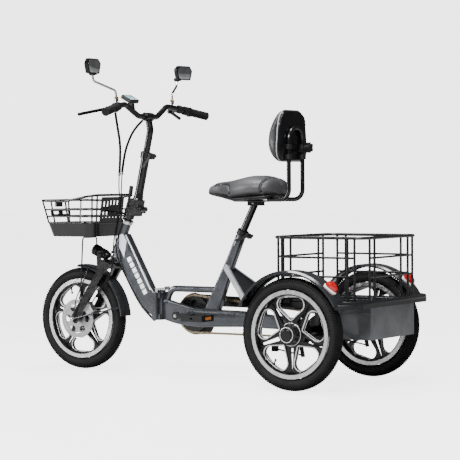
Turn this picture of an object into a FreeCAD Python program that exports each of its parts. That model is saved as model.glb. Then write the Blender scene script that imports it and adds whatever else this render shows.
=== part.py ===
"""Folding electric tricycle for adults: cast wheels, cargo cage, front basket and padded seat.

Frame: X forward, Y left, Z up, millimetres.  The origin is on the ground under the middle of the
tricycle's box.  Points in the sheet are measured from the rear axle: forward, left, above the ground.
"""
import FreeCAD, Part
import Sketcher
import math
import os
from FreeCAD import Placement, Rotation, Vector

doc = FreeCAD.newDocument("tricycle")
sheet = doc.addObject("Spreadsheet::Sheet", "dims")

LENGTHS = {
    "rear_axle_x": -557.75,
    # wheels
    "wheelbase": 1172.0, "half_track": 296.0, "tyre_radius": 206.5, "tyre_width": 57.0,
    "rim_radius": 161.0, "rim_bed": 152.0, "rim_inner": 143.0, "rim_width": 46.0, "web_half": 7.0,
    "hub_radius": 36.0, "hub_half": 38.0, "axle_radius": 7.95, "axle_hole": 8.0,
    "window_tip": 50.2, "window_tip_round": 6.0, "window_top": 136.0, "window_half": 102.0,
    "window_round": 27.0, "slot_low": 50.0, "slot_high": 134.0, "slot_wide": 8.0, "slot_narrow": 4.0,
    "cap_radius": 24.0, "cap_height": 8.0, "disc_radius": 80.0, "disc_side": 41.0, "disc_thick": 2.0,
    # main tubes and the frame hinge
    "tube_width": 44.0, "tube_round": 14.0, "down_width": 40.0, "down_round": 10.0,
    "plate_thick": 18.0, "plate_gap": 1.2,
    "plate_low": 214.0, "plate_high": 322.0, "plate_side": 33.0, "hinge_x": 784.0, "hinge_y": 41.0,
    "hinge_pin": 5.0, "knuckle_radius": 10.0, "knuckle_low": 236.0, "knuckle_high": 300.0,
    "shell_radius": 21.0, "shell_half": 34.0, "spindle_radius": 8.0,
    "loop_radius": 12.5, "seat_tube_depth": 40.0, "seat_tube_width": 33.0, "stay_radius": 8.0,
    "post_radius": 14.2, "post_hole": 14.5, "post_hole_depth": 160.0, "panel_thick": 3.0,
    # head tube, fork and front end
    "head_radius": 19.0, "cup_radius": 23.0, "cup_length": 14.0, "steerer_radius": 12.7,
    "steerer_hole": 13.1, "leg_wide": 32.0, "leg_thick": 16.0, "crown_half": 58.0,
    "fender_radius": 220.0, "fender_half": 33.0, "fender_skin": 2.5, "fender_drop": 11.0,
    "stay_wire": 2.5, "prop_wire": 3.2, "lamp_radius": 19.0, "lamp_length": 61.0, "horn_radius": 14.0,
    # basket
    "basket_wire": 3.0, "basket_rim": 5.0, "basket_corner": 45.0,
    # stem and handlebar
    "stem_radius": 17.0, "stem_hole": 13.8, "riser_radius": 13.5, "collar_radius": 22.0,
    "block_side": 44.0, "bar_radius": 11.1, "grip_radius": 16.5, "throttle_radius": 18.0,
    "stalk_radius": 4.5, "mirror_thick": 16.0,
    # drive
    "crank_length": 140.0, "crank_side": 78.0, "crank_thick": 12.0, "pedal_side": 139.0,
    "pedal_long": 96.0, "pedal_wide": 84.0, "pedal_thick": 24.0, "ring_radius": 70.0,
    "ring_thick": 3.0, "chain_side": 50.0, "sprocket_radius": 38.0, "chain_wide": 8.0,
    "chain_tall": 9.0, "guard_radius": 83.0, "guard_side": 59.0, "guard_thick": 3.0,
    # rear end
    "beam_radius": 20.0, "beam_half": 232.0, "shaft_half": 322.0, "motor_radius": 60.0,
    "motor_side": 64.0, "motor_half": 34.0, "brake_radius": 46.0, "brake_thick": 18.0,
    "deck_rear": -263.0, "deck_front": 205.0, "deck_half": 256.0, "deck_low": 302.0,
    "deck_high": 318.0, "deck_floor": 4.0, "deck_rim": 9.0, "guard_arch": 232.0, "arch_inner": 258.0,
    "arch_outer": 336.0, "arch_skin": 3.0, "arch_start": 28.9, "arch_sweep": 122.2, "strip_start": 190.0,
    "box_front": -80.0, "box_rear": -252.0, "box_half": 168.0, "box_low": 184.0, "box_wall": 3.0,
    "cage_wire": 4.6, "cage_rim": 5.8, "cage_front": 138.0, "cage_rear": -247.0, "cage_half": 205.0,
    "cage_top": 553.0, "cage_corner": 40.0,
    # seat
    "back_tube": 8.5, "back_half": 50.0, "back_plate": 8.0, "knob_radius": 21.0,
    "cable_radius": 2.6, "bundle_radius": 5.0,
}

POINTS = {
    "crank_axle": (660, 0, 237),
    "seat_tube_foot": (550, 0, 258), "seat_tube_bend": (454, 0, 444), "seat_tube_top": (407, 0, 547),
    "post_top": (347, 0, 665), "saddle_clamp": (338, 0, 676),
    "loop_front": (772, 0, 262), "loop_bend": (733, 0, 338), "loop_rear": (500, 0, 338),
    "stay_top": (470, 12, 430), "stay_foot": (312, 110, 294),
    "head_top": (946, 0, 607), "head_foot": (1008, 0, 462), "crown": (1024, 0, 430),
    "leg_top": (1030, 49, 418), "lamp": (1075, 0, 473), "horn": (998, 0, 434),
    "stem_foot": (936, 0, 628), "fold_pin": (873, 0, 650), "stem_low": (902, 0, 660),
    "stem_high": (852, 0, 878), "riser_low": (883.651, 0, 740), "riser_bend": (831.817, 0, 966),
    "bar_middle": (843, 0, 1018), "bar_knee": (844, 62, 1019), "bar_rise": (852, 142, 1064),
    "bar_grip": (842, 196, 1056), "bar_end": (795, 345, 1028),
    "lever_pivot": (884, 212, 1046), "lever_tip": (926, 340, 1022),
    "mirror_foot": (858, 190, 1076), "mirror_head": (884, 308, 1207), "display": (856, 98, 1078),
    "back_low": (245, 50, 690), "back_corner": (160, 50, 690), "back_top": (160, 50, 960),
    "knob": (140, -50, 886),
}


class Size:
    """A length worked out from the sheet: its value, and the expression that keeps it bound."""

    def __init__(self, value, text):
        self.value = float(value)
        self.text = text

    def _join(self, other, sign, value):
        text = other.text if isinstance(other, Size) else "(%.6g)" % other
        return Size(value, "(%s %s %s)" % (self.text, sign, text))

    def __float__(self):
        return self.value

    def __add__(self, other):
        return self._join(other, "+", self.value + float(other))

    def __sub__(self, other):
        return self._join(other, "-", self.value - float(other))

    def __mul__(self, other):
        return self._join(other, "*", self.value * float(other))

    def __truediv__(self, other):
        return self._join(other, "/", self.value / float(other))

    def __neg__(self):
        return Size(-self.value, "(0 - %s)" % self.text)

    def __rsub__(self, other):
        return Size(float(other) - self.value, "((%.6g) - %s)" % (other, self.text))

    __radd__ = __add__
    __rmul__ = __mul__


def fill_sheet():
    """Write every driving dimension into its own named cell."""
    cells = dict(LENGTHS)
    for name, values in POINTS.items():
        for letter, value in zip("xyz", values):
            cells[name + "_" + letter] = value
    for row, (name, value) in enumerate(cells.items(), start=1):
        sheet.set("A%d" % row, name)
        sheet.set("B%d" % row, "%g" % value)
        sheet.setAlias("B%d" % row, name)
    doc.recompute()


fill_sheet()


def dim(name):
    return Size(sheet.get(name), "dims." + name)


def at(x, y, z):
    """A point from distances forward of the rear axle, left of the middle and above the ground."""
    return (dim("rear_axle_x") + x, y, z)


def point(name, side=1):
    """A named point of the sheet, mirrored to the right for side -1."""
    x, y, z = [dim(name + "_" + letter) for letter in "xyz"]
    return at(x, y if side > 0 else -y, z)


def vector(place):
    return Vector(*[float(part) for part in place])


def bind(obj, name, value):
    """Give a property its value, and bind it to the sheet where the value comes from there."""
    if "." not in name:
        setattr(obj, name, float(value))
    if isinstance(value, Size):
        obj.setExpression(name, value.text)


def put(obj, base, rotation=Rotation()):
    obj.Placement = Placement(vector(base), rotation)
    for letter, value in zip("xyz", base):
        bind(obj, "Placement.Base." + letter, value)
    return obj


def toward(direction):
    """The rotation that turns +Z to a direction."""
    return Rotation(Vector(0, 0, 1), Vector(*direction))


# ---- Part primitives -------------------------------------------------------------------------

def block(low, size):
    """A box from its lowest corner."""
    obj = doc.addObject("Part::Box", "block")
    for name, value in zip(("Length", "Width", "Height"), size):
        bind(obj, name, value)
    return put(obj, low)


def slab(centre, size, rotation=Rotation()):
    """A box about its centre, turned by a rotation."""
    obj = doc.addObject("Part::Box", "slab")
    for name, value in zip(("Length", "Width", "Height"), size):
        bind(obj, name, value)
    half = Vector(*[-float(value) / 2 for value in size])
    obj.Placement = Placement(vector(centre) + rotation.multVec(half), rotation)
    return obj


def drum(base, direction, radius, length):
    """A cylinder from the middle of one end, along a direction."""
    obj = doc.addObject("Part::Cylinder", "drum")
    bind(obj, "Radius", radius)
    bind(obj, "Height", length)
    return put(obj, base, toward(direction))


def cross_drum(centre, radius, half):
    """A cylinder along Y, the same length each side of its centre."""
    x, y, z = centre
    return drum((x, y - half, z), (0, 1, 0), radius, half * 2)


def rod(start, end, radius, before=0.0, after=0.0):
    """A round bar between two points, with spare length before and after them."""
    a, b = vector(start), vector(end)
    along = (b - a).normalize()
    obj = doc.addObject("Part::Cylinder", "rod")
    bind(obj, "Radius", radius)
    obj.Height = (b - a).Length + before + after
    obj.Placement = Placement(a - along * before, toward(along))
    return obj


def ball(centre, radius):
    obj = doc.addObject("Part::Sphere", "ball")
    bind(obj, "Radius", radius)
    return put(obj, centre)


def cone(base, direction, radius1, radius2, length):
    obj = doc.addObject("Part::Cone", "cone")
    bind(obj, "Radius1", radius1)
    bind(obj, "Radius2", radius2)
    bind(obj, "Height", length)
    return put(obj, base, toward(direction))


def fuse(*shapes):
    if len(shapes) == 1:
        return shapes[0]
    obj = doc.addObject("Part::MultiFuse", "fuse")
    obj.Shapes = list(shapes)
    return obj


def group(*shapes):
    """Pieces that don't touch, kept as one."""
    obj = doc.addObject("Part::Compound", "group")
    obj.Links = list(shapes)
    return obj


def cut(base, *tools):
    obj = doc.addObject("Part::Cut", "cut")
    obj.Base = base
    obj.Tool = fuse(*tools)
    return obj


def common(first, second):
    obj = doc.addObject("Part::Common", "common")
    obj.Base = first
    obj.Tool = second
    return obj


def bent_edges(corners, bends, closed):
    """Straight runs joined by tangent arcs; bends is one radius, or one for each corner."""
    count = len(corners)
    turning = range(count) if closed else range(1, count - 1)
    radii = bends if isinstance(bends, (list, tuple)) else [bends] * count
    starts, ends, arcs = {}, {}, {}
    for index in turning:
        corner = corners[index]
        back = (corners[index - 1] - corner).normalize()
        ahead = (corners[(index + 1) % count] - corner).normalize()
        half = back.getAngle(ahead) / 2
        reach = float(radii[index]) / math.tan(half)
        centre = corner + (back + ahead).normalize() * (float(radii[index]) / math.sin(half))
        ends[index] = corner + back * reach
        starts[index] = corner + ahead * reach
        middle = centre + (corner - centre).normalize() * float(radii[index])
        arcs[index] = Part.Arc(ends[index], middle, starts[index]).toShape()
    edges = []
    for index in range(count if closed else count - 1):
        after = (index + 1) % count
        first = starts.get(index, corners[index])
        last = ends.get(after, corners[after])
        if (last - first).Length > 1e-4:
            edges.append(Part.LineSegment(first, last).toShape())
        if after in arcs:
            edges.append(arcs[after])
    return edges


def bent_rod(places, bends, radius, closed=False):
    """A round bar bent along its corners: a circle swept along straight runs and tangent arcs."""
    edges = bent_edges([vector(place) for place in places], bends, closed)
    spine = doc.addObject("Part::Feature", "spine")
    spine.Shape = Part.Wire(edges)
    profile = doc.addObject("Part::Circle", "profile")
    bind(profile, "Radius", radius)
    first = edges[0]
    profile.Placement = Placement(first.valueAt(first.FirstParameter),
                                  toward(first.tangentAt(first.FirstParameter)))
    obj = doc.addObject("Part::Sweep", "bent_rod")
    obj.Sections = [profile]
    obj.Spine = (spine, ["Edge%d" % number for number in range(1, len(edges) + 1)])
    obj.Solid = True
    obj.Frenet = True
    return obj


# ---- PartDesign bodies -----------------------------------------------------------------------

def new_body(name):
    return doc.addObject("PartDesign::Body", name)


def new_sketch(body, plane, lift=0.0):
    """A sketch on one of the body's own origin planes, or parallel to it at a distance."""
    sketch = body.newObject("Sketcher::SketchObject", "sketch")
    origin = [item for item in body.Origin.OriginFeatures if item.Role == plane + "_Plane"]
    sketch.AttachmentSupport = [(origin[0], "")]
    sketch.MapMode = "FlatFace"
    sketch.AttachmentOffset = Placement(Vector(0, 0, float(lift)), Rotation())
    return sketch


def rounded_corners(corners):
    """Replace each corner (x, y, radius) by its two tangent points, joined by an arc."""
    result = []
    count = len(corners)
    for index, corner in enumerate(corners):
        if len(corner) != 3:
            result.append(corner)
            continue
        here, radius = Vector(float(corner[0]), float(corner[1]), 0), float(corner[2])
        back, ahead = [Vector(float(other[0]), float(other[1]), 0) - here
                       for other in (corners[index - 1], corners[(index + 1) % count])]
        back.normalize()
        ahead.normalize()
        half = back.getAngle(ahead) / 2
        bisector = (back + ahead).normalize()
        first, last = here + back * (radius / math.tan(half)), here + ahead * (radius / math.tan(half))
        via = here + bisector * (radius / math.sin(half) - radius)
        result += [(first.x, first.y), (last.x, last.y, via.x, via.y)]
    return result


def draw(sketch, corners):
    """A closed outline.  A corner is (x, y), (x, y, radius) where it is rounded, or
    (x, y, via_x, via_y) where an arc through the via point reaches it.  Its places are bound."""
    corners = rounded_corners(corners)
    count = len(corners)
    flat = [Vector(float(corner[0]), float(corner[1]), 0) for corner in corners]
    for index, corner in enumerate(corners):
        before = flat[index - 1]
        if len(corner) == 4:
            via = Vector(float(corner[2]), float(corner[3]), 0)
            sketch.addGeometry(Part.Arc(before, via, flat[index]))
        else:
            sketch.addGeometry(Part.LineSegment(before, flat[index]))
    tips = []
    for index, corner in enumerate(corners):
        first, last = sketch.getPoint(index, 1), sketch.getPoint(index, 2)
        forward = (last - flat[index]).Length < (first - flat[index]).Length
        tips.append((1, 2) if forward else (2, 1))
    for index, corner in enumerate(corners):
        after = (index + 1) % count
        sketch.addConstraint(
            Sketcher.Constraint("Coincident", index, tips[index][1], after, tips[after][0]))
        for kind, value in (("DistanceX", corner[0]), ("DistanceY", corner[1])):
            number = sketch.addConstraint(
                Sketcher.Constraint(kind, -1, 1, index, tips[index][1], float(value)))
            if isinstance(value, Size):
                sketch.setExpression("Constraints[%d]" % number, value.text)
    return sketch


def pad(body, sketch, length, midplane=True, back=False):
    feature = body.newObject("PartDesign::Pad", "pad")
    feature.Profile = sketch
    feature.SideType = "Symmetric" if midplane else "One side"
    feature.Reversed = back
    bind(feature, "Length", length)
    return feature


def pocket_through(body, sketch):
    feature = body.newObject("PartDesign::Pocket", "pocket")
    feature.Profile = sketch
    feature.Type = "ThroughAll"
    feature.Midplane = True
    return feature


def revolve(body, sketch, angle=360.0, axis="V_Axis"):
    feature = body.newObject("PartDesign::Revolution", "turned")
    feature.Profile = sketch
    feature.ReferenceAxis = (sketch, [axis])
    bind(feature, "Angle", angle)
    return feature


def soften(body, radius, pick):
    """Round the edges that pick chooses on the body's last feature."""
    doc.recompute()
    base = body.Tip
    names = ["Edge%d" % number for number, edge in enumerate(base.Shape.Edges, start=1) if pick(edge)]
    feature = body.newObject("PartDesign::Fillet", "rounding")
    feature.Base = (base, names)
    bind(feature, "Radius", radius)
    return feature


def side_plate(name, corners, width, rounding=None, side=0.0, until=1e9):
    """A piece cut to a side outline (forward of the rear axle, height), as wide as given."""
    body = new_body(name)
    pad(body, draw(new_sketch(body, "XZ"), corners), width)
    if rounding is not None:
        soften(body, rounding, lambda edge: edge.BoundBox.YLength < 0.01 and edge.BoundBox.XLength > 0.01
               and edge.BoundBox.XMax < until)
    return put(body, at(0.0, side, 0.0))


# ---- node list -------------------------------------------------------------------------------

nodes = []


def node(label, shape, *around):
    """Name a finished piece, after trimming it to the pieces around it."""
    if around:
        shape = cut(shape, *around)
    shape.Label = label
    nodes.append(shape)
    return shape


# ---- wheels ----------------------------------------------------------------------------------

def wheel_shape(bore):
    """A cast wheel about its own axle: rim, hub, and a web with five rounded windows and slots."""
    body = new_body("wheel")
    rim, half = dim("rim_radius"), dim("rim_width") / 2
    bed, inner, web = dim("rim_bed"), dim("rim_inner"), dim("web_half")
    hub, hub_half = dim("hub_radius"), dim("hub_half")
    section = [(bore, -hub_half), (hub, -hub_half), (hub + 4, -web), (inner - 6, -web), (inner, -half),
               (rim, -half), (rim, -half + 3), (bed, -half + 8), (bed, half - 8), (rim, half - 3),
               (rim, half), (inner, half), (inner - 6, web), (hub + 4, web),
               (hub, hub_half), (bore, hub_half)]
    revolve(body, draw(new_sketch(body, "XY"), section))
    doc.recompute()
    tip, top, half = dim("window_tip"), dim("window_top"), dim("window_half")
    window = [(0, tip, dim("window_tip_round")), (half, top, dim("window_round")),
              (-half, top, dim("window_round"))]
    low, high, wide, narrow = dim("slot_low"), dim("slot_high"), dim("slot_wide"), dim("slot_narrow")
    slot = [(-wide, -low), (wide, -low), (narrow, -high), (-narrow, -high)]
    holes = [pocket_through(body, draw(new_sketch(body, "XZ"), outline)) for outline in (window, slot)]
    doc.recompute()
    pattern = body.newObject("PartDesign::PolarPattern", "five_spokes")
    pattern.Originals = holes
    axis = [item for item in body.Origin.OriginFeatures if item.Role == "Y_Axis"]
    pattern.Axis = (axis[0], [""])
    pattern.Angle = 360
    pattern.Occurrences = 5
    body.Tip = pattern
    return body


def tyre_shape():
    """A balloon tyre with its tube, seated in the rim."""
    body = new_body("tyre")
    rim, bed, outer = dim("rim_radius"), dim("rim_bed"), dim("tyre_radius")
    half, wide = dim("rim_width") / 2, dim("tyre_width") / 2
    section = [(bed, 0.0), (bed, -half + 8), (rim, -half + 3), (rim + 2, -half + 1), (rim + 2, -half - 1),
               (outer - 13, -wide + 5, rim + 17, -wide), (outer - 13, wide - 5, outer, 0.0),
               (rim + 2, half + 1, rim + 17, wide),
               (rim + 2, half - 1), (rim, half - 3), (bed, half - 8)]
    revolve(body, draw(new_sketch(body, "XY"), section))
    return body


def make_wheels():
    """Three equal wheels: the front one with a brake disc, the rear ones with domed hub caps."""
    axle_height = dim("tyre_radius")
    for name, forward, side, turned in (("front", dim("wheelbase"), 0.0, 36),
                                        ("rear_left", 0.0, dim("half_track"), 0),
                                        ("rear_right", 0.0, -dim("half_track"), 20)):
        centre = at(forward, side, axle_height)
        wheel = put(wheel_shape(dim("axle_hole")), centre, Rotation(Vector(0, 1, 0), turned))
        if name != "front":
            out = 1 if name == "rear_left" else -1
            x, y, z = centre
            hub, height = dim("cap_radius"), dim("cap_height")
            face = (x, y + dim("hub_half") * out, z)
            cap = cone(face, (0, out, 0), hub, hub - 6, height)
            hollow = drum(face, (0, out, 0), dim("axle_hole"), height - 3)
            wheel = fuse(wheel, cut(cap, hollow))
        node(name + "_wheel", wheel)
        node(name + "_tyre", put(tyre_shape(), centre))
    centre = at(dim("wheelbase"), dim("disc_side"), axle_height)
    disc = cross_drum(centre, dim("disc_radius"), dim("disc_thick") / 2)
    holes = [cross_drum(centre, dim("axle_hole") + 6, dim("disc_thick"))]
    for turn in range(6):
        angle = math.radians(60 * turn)
        x, y, z = centre
        reach = dim("disc_radius") * 0.6
        where = (x + reach * math.cos(angle), y, z + reach * math.sin(angle))
        holes.append(cross_drum(where, dim("disc_radius") * 0.17, dim("disc_thick")))
    x, y, z = centre
    carrier = drum((x, dim("hub_half"), z), (0, 1, 0), dim("hub_radius"),
                   dim("disc_side") - dim("hub_half") - 1)
    carrier = cut(carrier, cross_drum(centre, dim("axle_hole"), dim("disc_side")))
    node("brake_disc", fuse(cut(disc, *holes), carrier))


# ---- rear frame ------------------------------------------------------------------------------

def make_lower_tube():
    """The deep low tube behind the frame hinge, with its hinge casting and crank shell."""
    outline = [(760, 296), (700, 281, 300), (612, 262, 300), (388, 259, 600), (8, 226),
               (8, 190), (388, 198, 600), (600, 190, 400), (706, 199, 200), (760, 213)]
    tube = side_plate("lower_tube_outline", outline, dim("tube_width"), dim("tube_round"))
    low, high = dim("plate_low"), dim("plate_high")
    thick, side = dim("plate_thick"), dim("plate_side")
    face = dim("hinge_x") - dim("plate_gap") / 2
    plate = block(at(face - thick - 6, -side, low), (thick + 6, side * 2, high - low))
    pin_x, pin_y = dim("hinge_x"), dim("hinge_y")
    knuckle = dim("knuckle_radius")
    pieces = [tube, plate]
    for start, length in ((low, dim("knuckle_low") - low),
                          (dim("knuckle_high"), high - dim("knuckle_high"))):
        pieces.append(drum(at(pin_x, pin_y, start), (0, 0, 1), knuckle, length))
        pieces.append(block(at(pin_x - 20, pin_y - 9, start), (20, 9, length)))
    pin = drum(at(pin_x, pin_y, low + 2), (0, 0, 1), dim("hinge_pin"), high - low - 4)
    room = drum(at(pin_x, pin_y, dim("knuckle_low")), (0, 0, 1), knuckle + 1.5,
                dim("knuckle_high") - dim("knuckle_low"))
    shell = cross_drum(point("crank_axle"), dim("shell_radius"), dim("shell_half"))
    bore = cross_drum(point("crank_axle"), dim("spindle_radius") + 0.05, dim("shell_half") + 1)
    hook = block(at(face - 14, -10, high), (14, 20, 9))
    welded = cut(fuse(*pieces, shell, hook), bore, room)
    return node("lower_tube", fuse(welded, pin))


def make_seat_tube(lower_tube):
    """The slanted seat tube, with the bore that the seat post slides in."""
    depth = dim("seat_tube_depth") / 2
    outline = [(575, 258), (505, 258), (436, 440), (390, 547), (424, 554), (474, 449)]
    tube = side_plate("seat_tube_outline", outline, dim("seat_tube_width"), 9.0)
    top = point("seat_tube_top")
    ring = rod(top, point("post_top"), depth * 0.93, before=40)
    ring.Height = 52
    return node("seat_tube", cut(fuse(tube, ring), post_bore()), lower_tube)


def post_bore():
    """The hole that the seat post slides in."""
    return rod(point("seat_tube_top"), point("post_top"), dim("post_hole"),
               before=float(dim("post_hole_depth")), after=60)


def make_loop_tube(lower_tube, seat_tube):
    """The round tube that loops over the crank, from the hinge casting to the seat tube."""
    loop = bent_rod([point("loop_front"), point("loop_bend"), point("loop_rear")], 34, dim("loop_radius"))
    return node("loop_tube", loop, lower_tube, seat_tube)


def bar(start, end, wide, thick, before=0.0, after=0.0, across=(0, 1, 0)):
    """A flat bar between two points: wide along the across direction, thick the other way."""
    a, b = vector(start), vector(end)
    along = (b - a).normalize()
    side = Vector(*across)
    side = (side - along * side.dot(along)).normalize()
    turn = Rotation(side, along.cross(side), along, "ZXY")
    middle = (a - along * before + b + along * after) / 2
    length = (b - a).Length + before + after
    return slab(tuple(middle), (wide, thick, length), turn)


def make_stays(seat_tube, rear_axle):
    """Two flat stays that spread from the seat tube to the rear frame, with a sheet between them."""
    stays = [bar(point("stay_top", side), point("stay_foot", side), 14, 20) for side in (1, -1)]
    top, foot = vector(point("stay_top")), vector(point("stay_foot"))
    start, end = Vector(top.x, 0, top.z), Vector(foot.x, 0, foot.z)
    length = (end - start).Length
    body = new_body("stay_sheet")
    edge = [(-8, 0), (foot.y * -0.76, length * 0.78), (foot.y * 0.76, length * 0.78), (8, 0)]
    pad(body, draw(new_sketch(body, "XY"), edge), dim("panel_thick"))
    body.Placement = Placement(start, Rotation(Vector(0, 1, 0), end - start, Vector(), "XYZ"))
    return node("seat_stays", fuse(*stays, body), seat_tube, rear_axle, post_bore())


# ---- rear end --------------------------------------------------------------------------------

def make_rear_axle(lower_tube):
    """The axle beam with its fixed shafts, and the rails that carry the deck."""
    axle = at(0.0, 0.0, dim("tyre_radius"))
    foot_y, low = dim("stay_foot_y"), dim("deck_low")
    pieces = [cross_drum(axle, dim("beam_radius"), dim("beam_half")),
              cross_drum(axle, dim("axle_radius"), dim("shaft_half"))]
    for side in (1, -1):
        left = foot_y * side - 10
        pieces.append(block(at(-74, left, low - 20), (dim("stay_foot_x") + 80, 20, 20)))
        pieces.append(block(at(-10, left, dim("tyre_radius")), (20, 20, low - dim("tyre_radius") - 20)))
        pieces.append(block(at(-10, dim("deck_half") * 0.8 * side - 8, dim("tyre_radius")),
                            (20, 16, low - dim("tyre_radius"))))
    for forward in (-74, 296):
        pieces.append(block(at(forward, -foot_y, low - 14), (18, foot_y * 2, 14)))
    pieces.append(block(at(299, -15, 240), (12, 30, low - 254)))
    beam = node("rear_axle", fuse(*pieces), lower_tube)
    middle = at(0.0, dim("motor_side"), dim("tyre_radius"))
    motor = cross_drum(middle, dim("motor_radius"), dim("motor_half"))
    lid = cross_drum(middle, dim("motor_radius") - 14, dim("motor_half") + 5)
    node("drive_motor", fuse(motor, lid), beam, lower_tube)
    return beam


def make_brakes(beam):
    """Drum brake plates inside the rear wheels, each with its arm, pull rod and cable stop."""
    pieces = []
    inner, thick = dim("beam_half") + 1, dim("brake_thick")
    height = dim("tyre_radius")
    for side in (1, -1):
        base = at(0.0, inner * side, height)
        plate = drum(base, (0, side, 0), dim("brake_radius"), thick)
        middle = inner * side + thick * side * 0.5
        arm = bar(at(-2, middle, 172), at(-13, middle, 120), 10, 12)
        pull = rod(at(-13, middle, 126), at(104, middle, 146), 3)
        stop = block(at(96, middle - 8, 136), (22, 16, 20))
        hanger = rod(at(106, middle, 150), at(34, middle, 196), 4)
        shaft_hole = cross_drum(base, dim("axle_radius") + 0.3, thick * 2)
        pieces.append(cut(fuse(plate, arm, pull, stop, hanger), shaft_hole))
    node("rear_brakes", fuse(*pieces), beam)


def make_deck():
    """The pressed cargo deck: a shallow tray whose corners reach out under the wheel arches."""
    body = new_body("deck")
    rear, front, start = dim("deck_rear"), dim("deck_front"), dim("strip_start")
    half, out = dim("deck_half"), dim("arch_outer")
    outline = [(rear, -out + 95), (-start, -out + 12, rear + 23, -out + 46), (-start, -half),
               (start, -half), (start, -out), (front, -out), (front, out), (start, out), (start, half),
               (-start, half), (-start, out - 12), (rear, out - 95, rear + 23, out - 46)]
    pad(body, draw(new_sketch(body, "XY", dim("deck_low")), outline), dim("deck_high") - dim("deck_low"),
        midplane=False)
    doc.recompute()
    rim = dim("deck_rim")
    sketch = new_sketch(body, "XY", dim("deck_high"))
    draw(sketch, [(rear + rim, -half + rim), (front - rim, -half + rim), (front - rim, half - rim),
                  (rear + rim, half - rim)])
    well = body.newObject("PartDesign::Pocket", "tray")
    well.Profile = sketch
    bind(well, "Length", dim("deck_high") - dim("deck_low") - dim("deck_floor"))
    top = float(dim("deck_high")) - 0.1
    soften(body, 3.0, lambda edge: edge.BoundBox.ZLength < 0.01 and edge.BoundBox.ZMax > top
           and abs(edge.BoundBox.XMin - float(rear)) < 41 and edge.BoundBox.YLength > 20)
    return node("deck", put(body, at(0.0, 0.0, 0.0)))


def arch_shape(radius, inner, outer, skin, sweep, drop):
    """A curved guard over a wheel: a skin of the given radius with both edges turned down."""
    body = new_body("arch")
    section = [(radius - drop, inner), (radius - drop, inner + skin), (radius - skin - 4, inner + skin),
               (radius - skin, inner + skin + 4), (radius - skin, outer - skin - 4),
               (radius - skin - 4, outer - skin), (radius - drop, outer - skin), (radius - drop, outer),
               (radius - 6, outer), (radius, outer - 8), (radius, inner + 8), (radius - 6, inner)]
    revolve(body, draw(new_sketch(body, "XY"), section), sweep)
    return body


def make_arches(deck):
    """The two rear wheel arches, standing on the deck's corners."""
    skin, sweep = dim("arch_skin"), dim("arch_sweep")
    half = (dim("arch_outer") - dim("arch_inner")) / 2
    arches = []
    for side in (1, -1):
        arch = arch_shape(dim("guard_arch"), -half, half, skin, sweep, 12)
        centre = at(0.0, (dim("arch_inner") + half) * side, dim("tyre_radius"))
        turn = Rotation(Vector(0, 1, 0), -(float(dim("arch_start")) + float(sweep)))
        arches.append(put(arch, centre, turn))
    return node("rear_fenders", fuse(*arches), deck)


def make_tail_lights(arches):
    """A red lamp on a pale base on the back of each wheel arch."""
    pieces = []
    angle = math.radians(133)
    radius = float(dim("guard_arch"))
    turn = Rotation(Vector(0, 1, 0), 90 - 133)
    for side in (1, -1):
        middle = (dim("arch_inner") + dim("arch_outer")) * 0.5 * side
        for reach, size in ((5, (50, 44, 12)), (16, (40, 36, 14))):
            out = radius + reach
            centre = at(math.cos(angle) * out, middle, dim("tyre_radius") + math.sin(angle) * out)
            pieces.append(slab(centre, size, turn))
    node("tail_lights", fuse(*pieces), arches)


def make_battery_box():
    """The closed box under the deck, and the battery that it holds."""
    rear, front, half = dim("box_rear"), dim("box_front"), dim("box_half")
    low, high, wall = dim("box_low"), dim("deck_low") - 0.2, dim("box_wall")
    outer = block(at(rear, -half, low), (front - rear, half * 2, high - low))
    inner = block(at(rear + wall, -half + wall, low + wall),
                  (front - rear - wall * 2, half * 2 - wall * 2, high - low - wall * 2))
    node("battery_box", cut(outer, inner))
    size = (front - rear - wall * 2 - 16, half * 1.3, 84)
    pack = block(at(rear + wall + 8, -half + wall + 6, low + wall + 0.1), size)
    handle = bent_rod([at(rear + 60, -half * 0.5, low + 84), at(rear + 60, -half * 0.5, low + 106),
                       at(rear + 60, half * 0.1, low + 106), at(rear + 60, half * 0.1, low + 84)], 8, 4)
    node("battery", fuse(pack, handle))


def make_cage():
    """The welded wire cage that stands on the deck."""
    wire, rim, corner = dim("cage_wire"), dim("cage_rim"), dim("cage_corner")
    front, rear, half, top = dim("cage_front"), dim("cage_rear"), dim("cage_half"), dim("cage_top")
    foot = dim("deck_low") + dim("deck_floor") + wire * 1.1 + 0.05
    thin = wire * 0.86
    pieces = [loop_rail(height, radius, front, rear, half, corner)
              for height, radius in ((top, rim), (foot, wire * 1.1))]
    for height in (412, 481):
        for forward in (front, rear):
            pieces.append(rod(at(forward, -half + corner, height), at(forward, half - corner, height), thin))
        for side in (1, -1):
            pieces.append(rod(at(front - corner, half * side, height),
                              at(rear + corner, half * side, height), thin))
    for side in (1, -1):
        for forward in (front - corner, front * 0.44, rear + 69, rear + corner):
            pieces.append(rod(at(forward, half * side, foot), at(forward, half * side, top), wire))
        for forward in (front, rear):
            for inward in (corner, corner + 36):
                place = (half - inward) * side
                pieces.append(rod(at(forward, place, foot), at(forward, place, top), wire))
        pieces.append(rod(at(rear, half * side * 0.33, foot), at(front, half * side * 0.33, foot), thin))
    node("cargo_cage", fuse(*pieces))


def loop_rail(height, radius, front, rear, half, corner):
    """A level wire ring with rounded corners, started in the middle of a side."""
    middle = at((front + rear) / 2 + 10, half, height)
    corners = [at(forward, left, height) for forward, left in
               ((rear, half), (rear, -half), (front, -half), (front, half))]
    return bent_ring([middle] + corners, corner, radius)


def bent_ring(places, bend, radius):
    """A closed bent bar; the first place lies on a straight run."""
    return bent_rod(list(places) + [places[0]], bend, radius)


# ---- drive -----------------------------------------------------------------------------------

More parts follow.
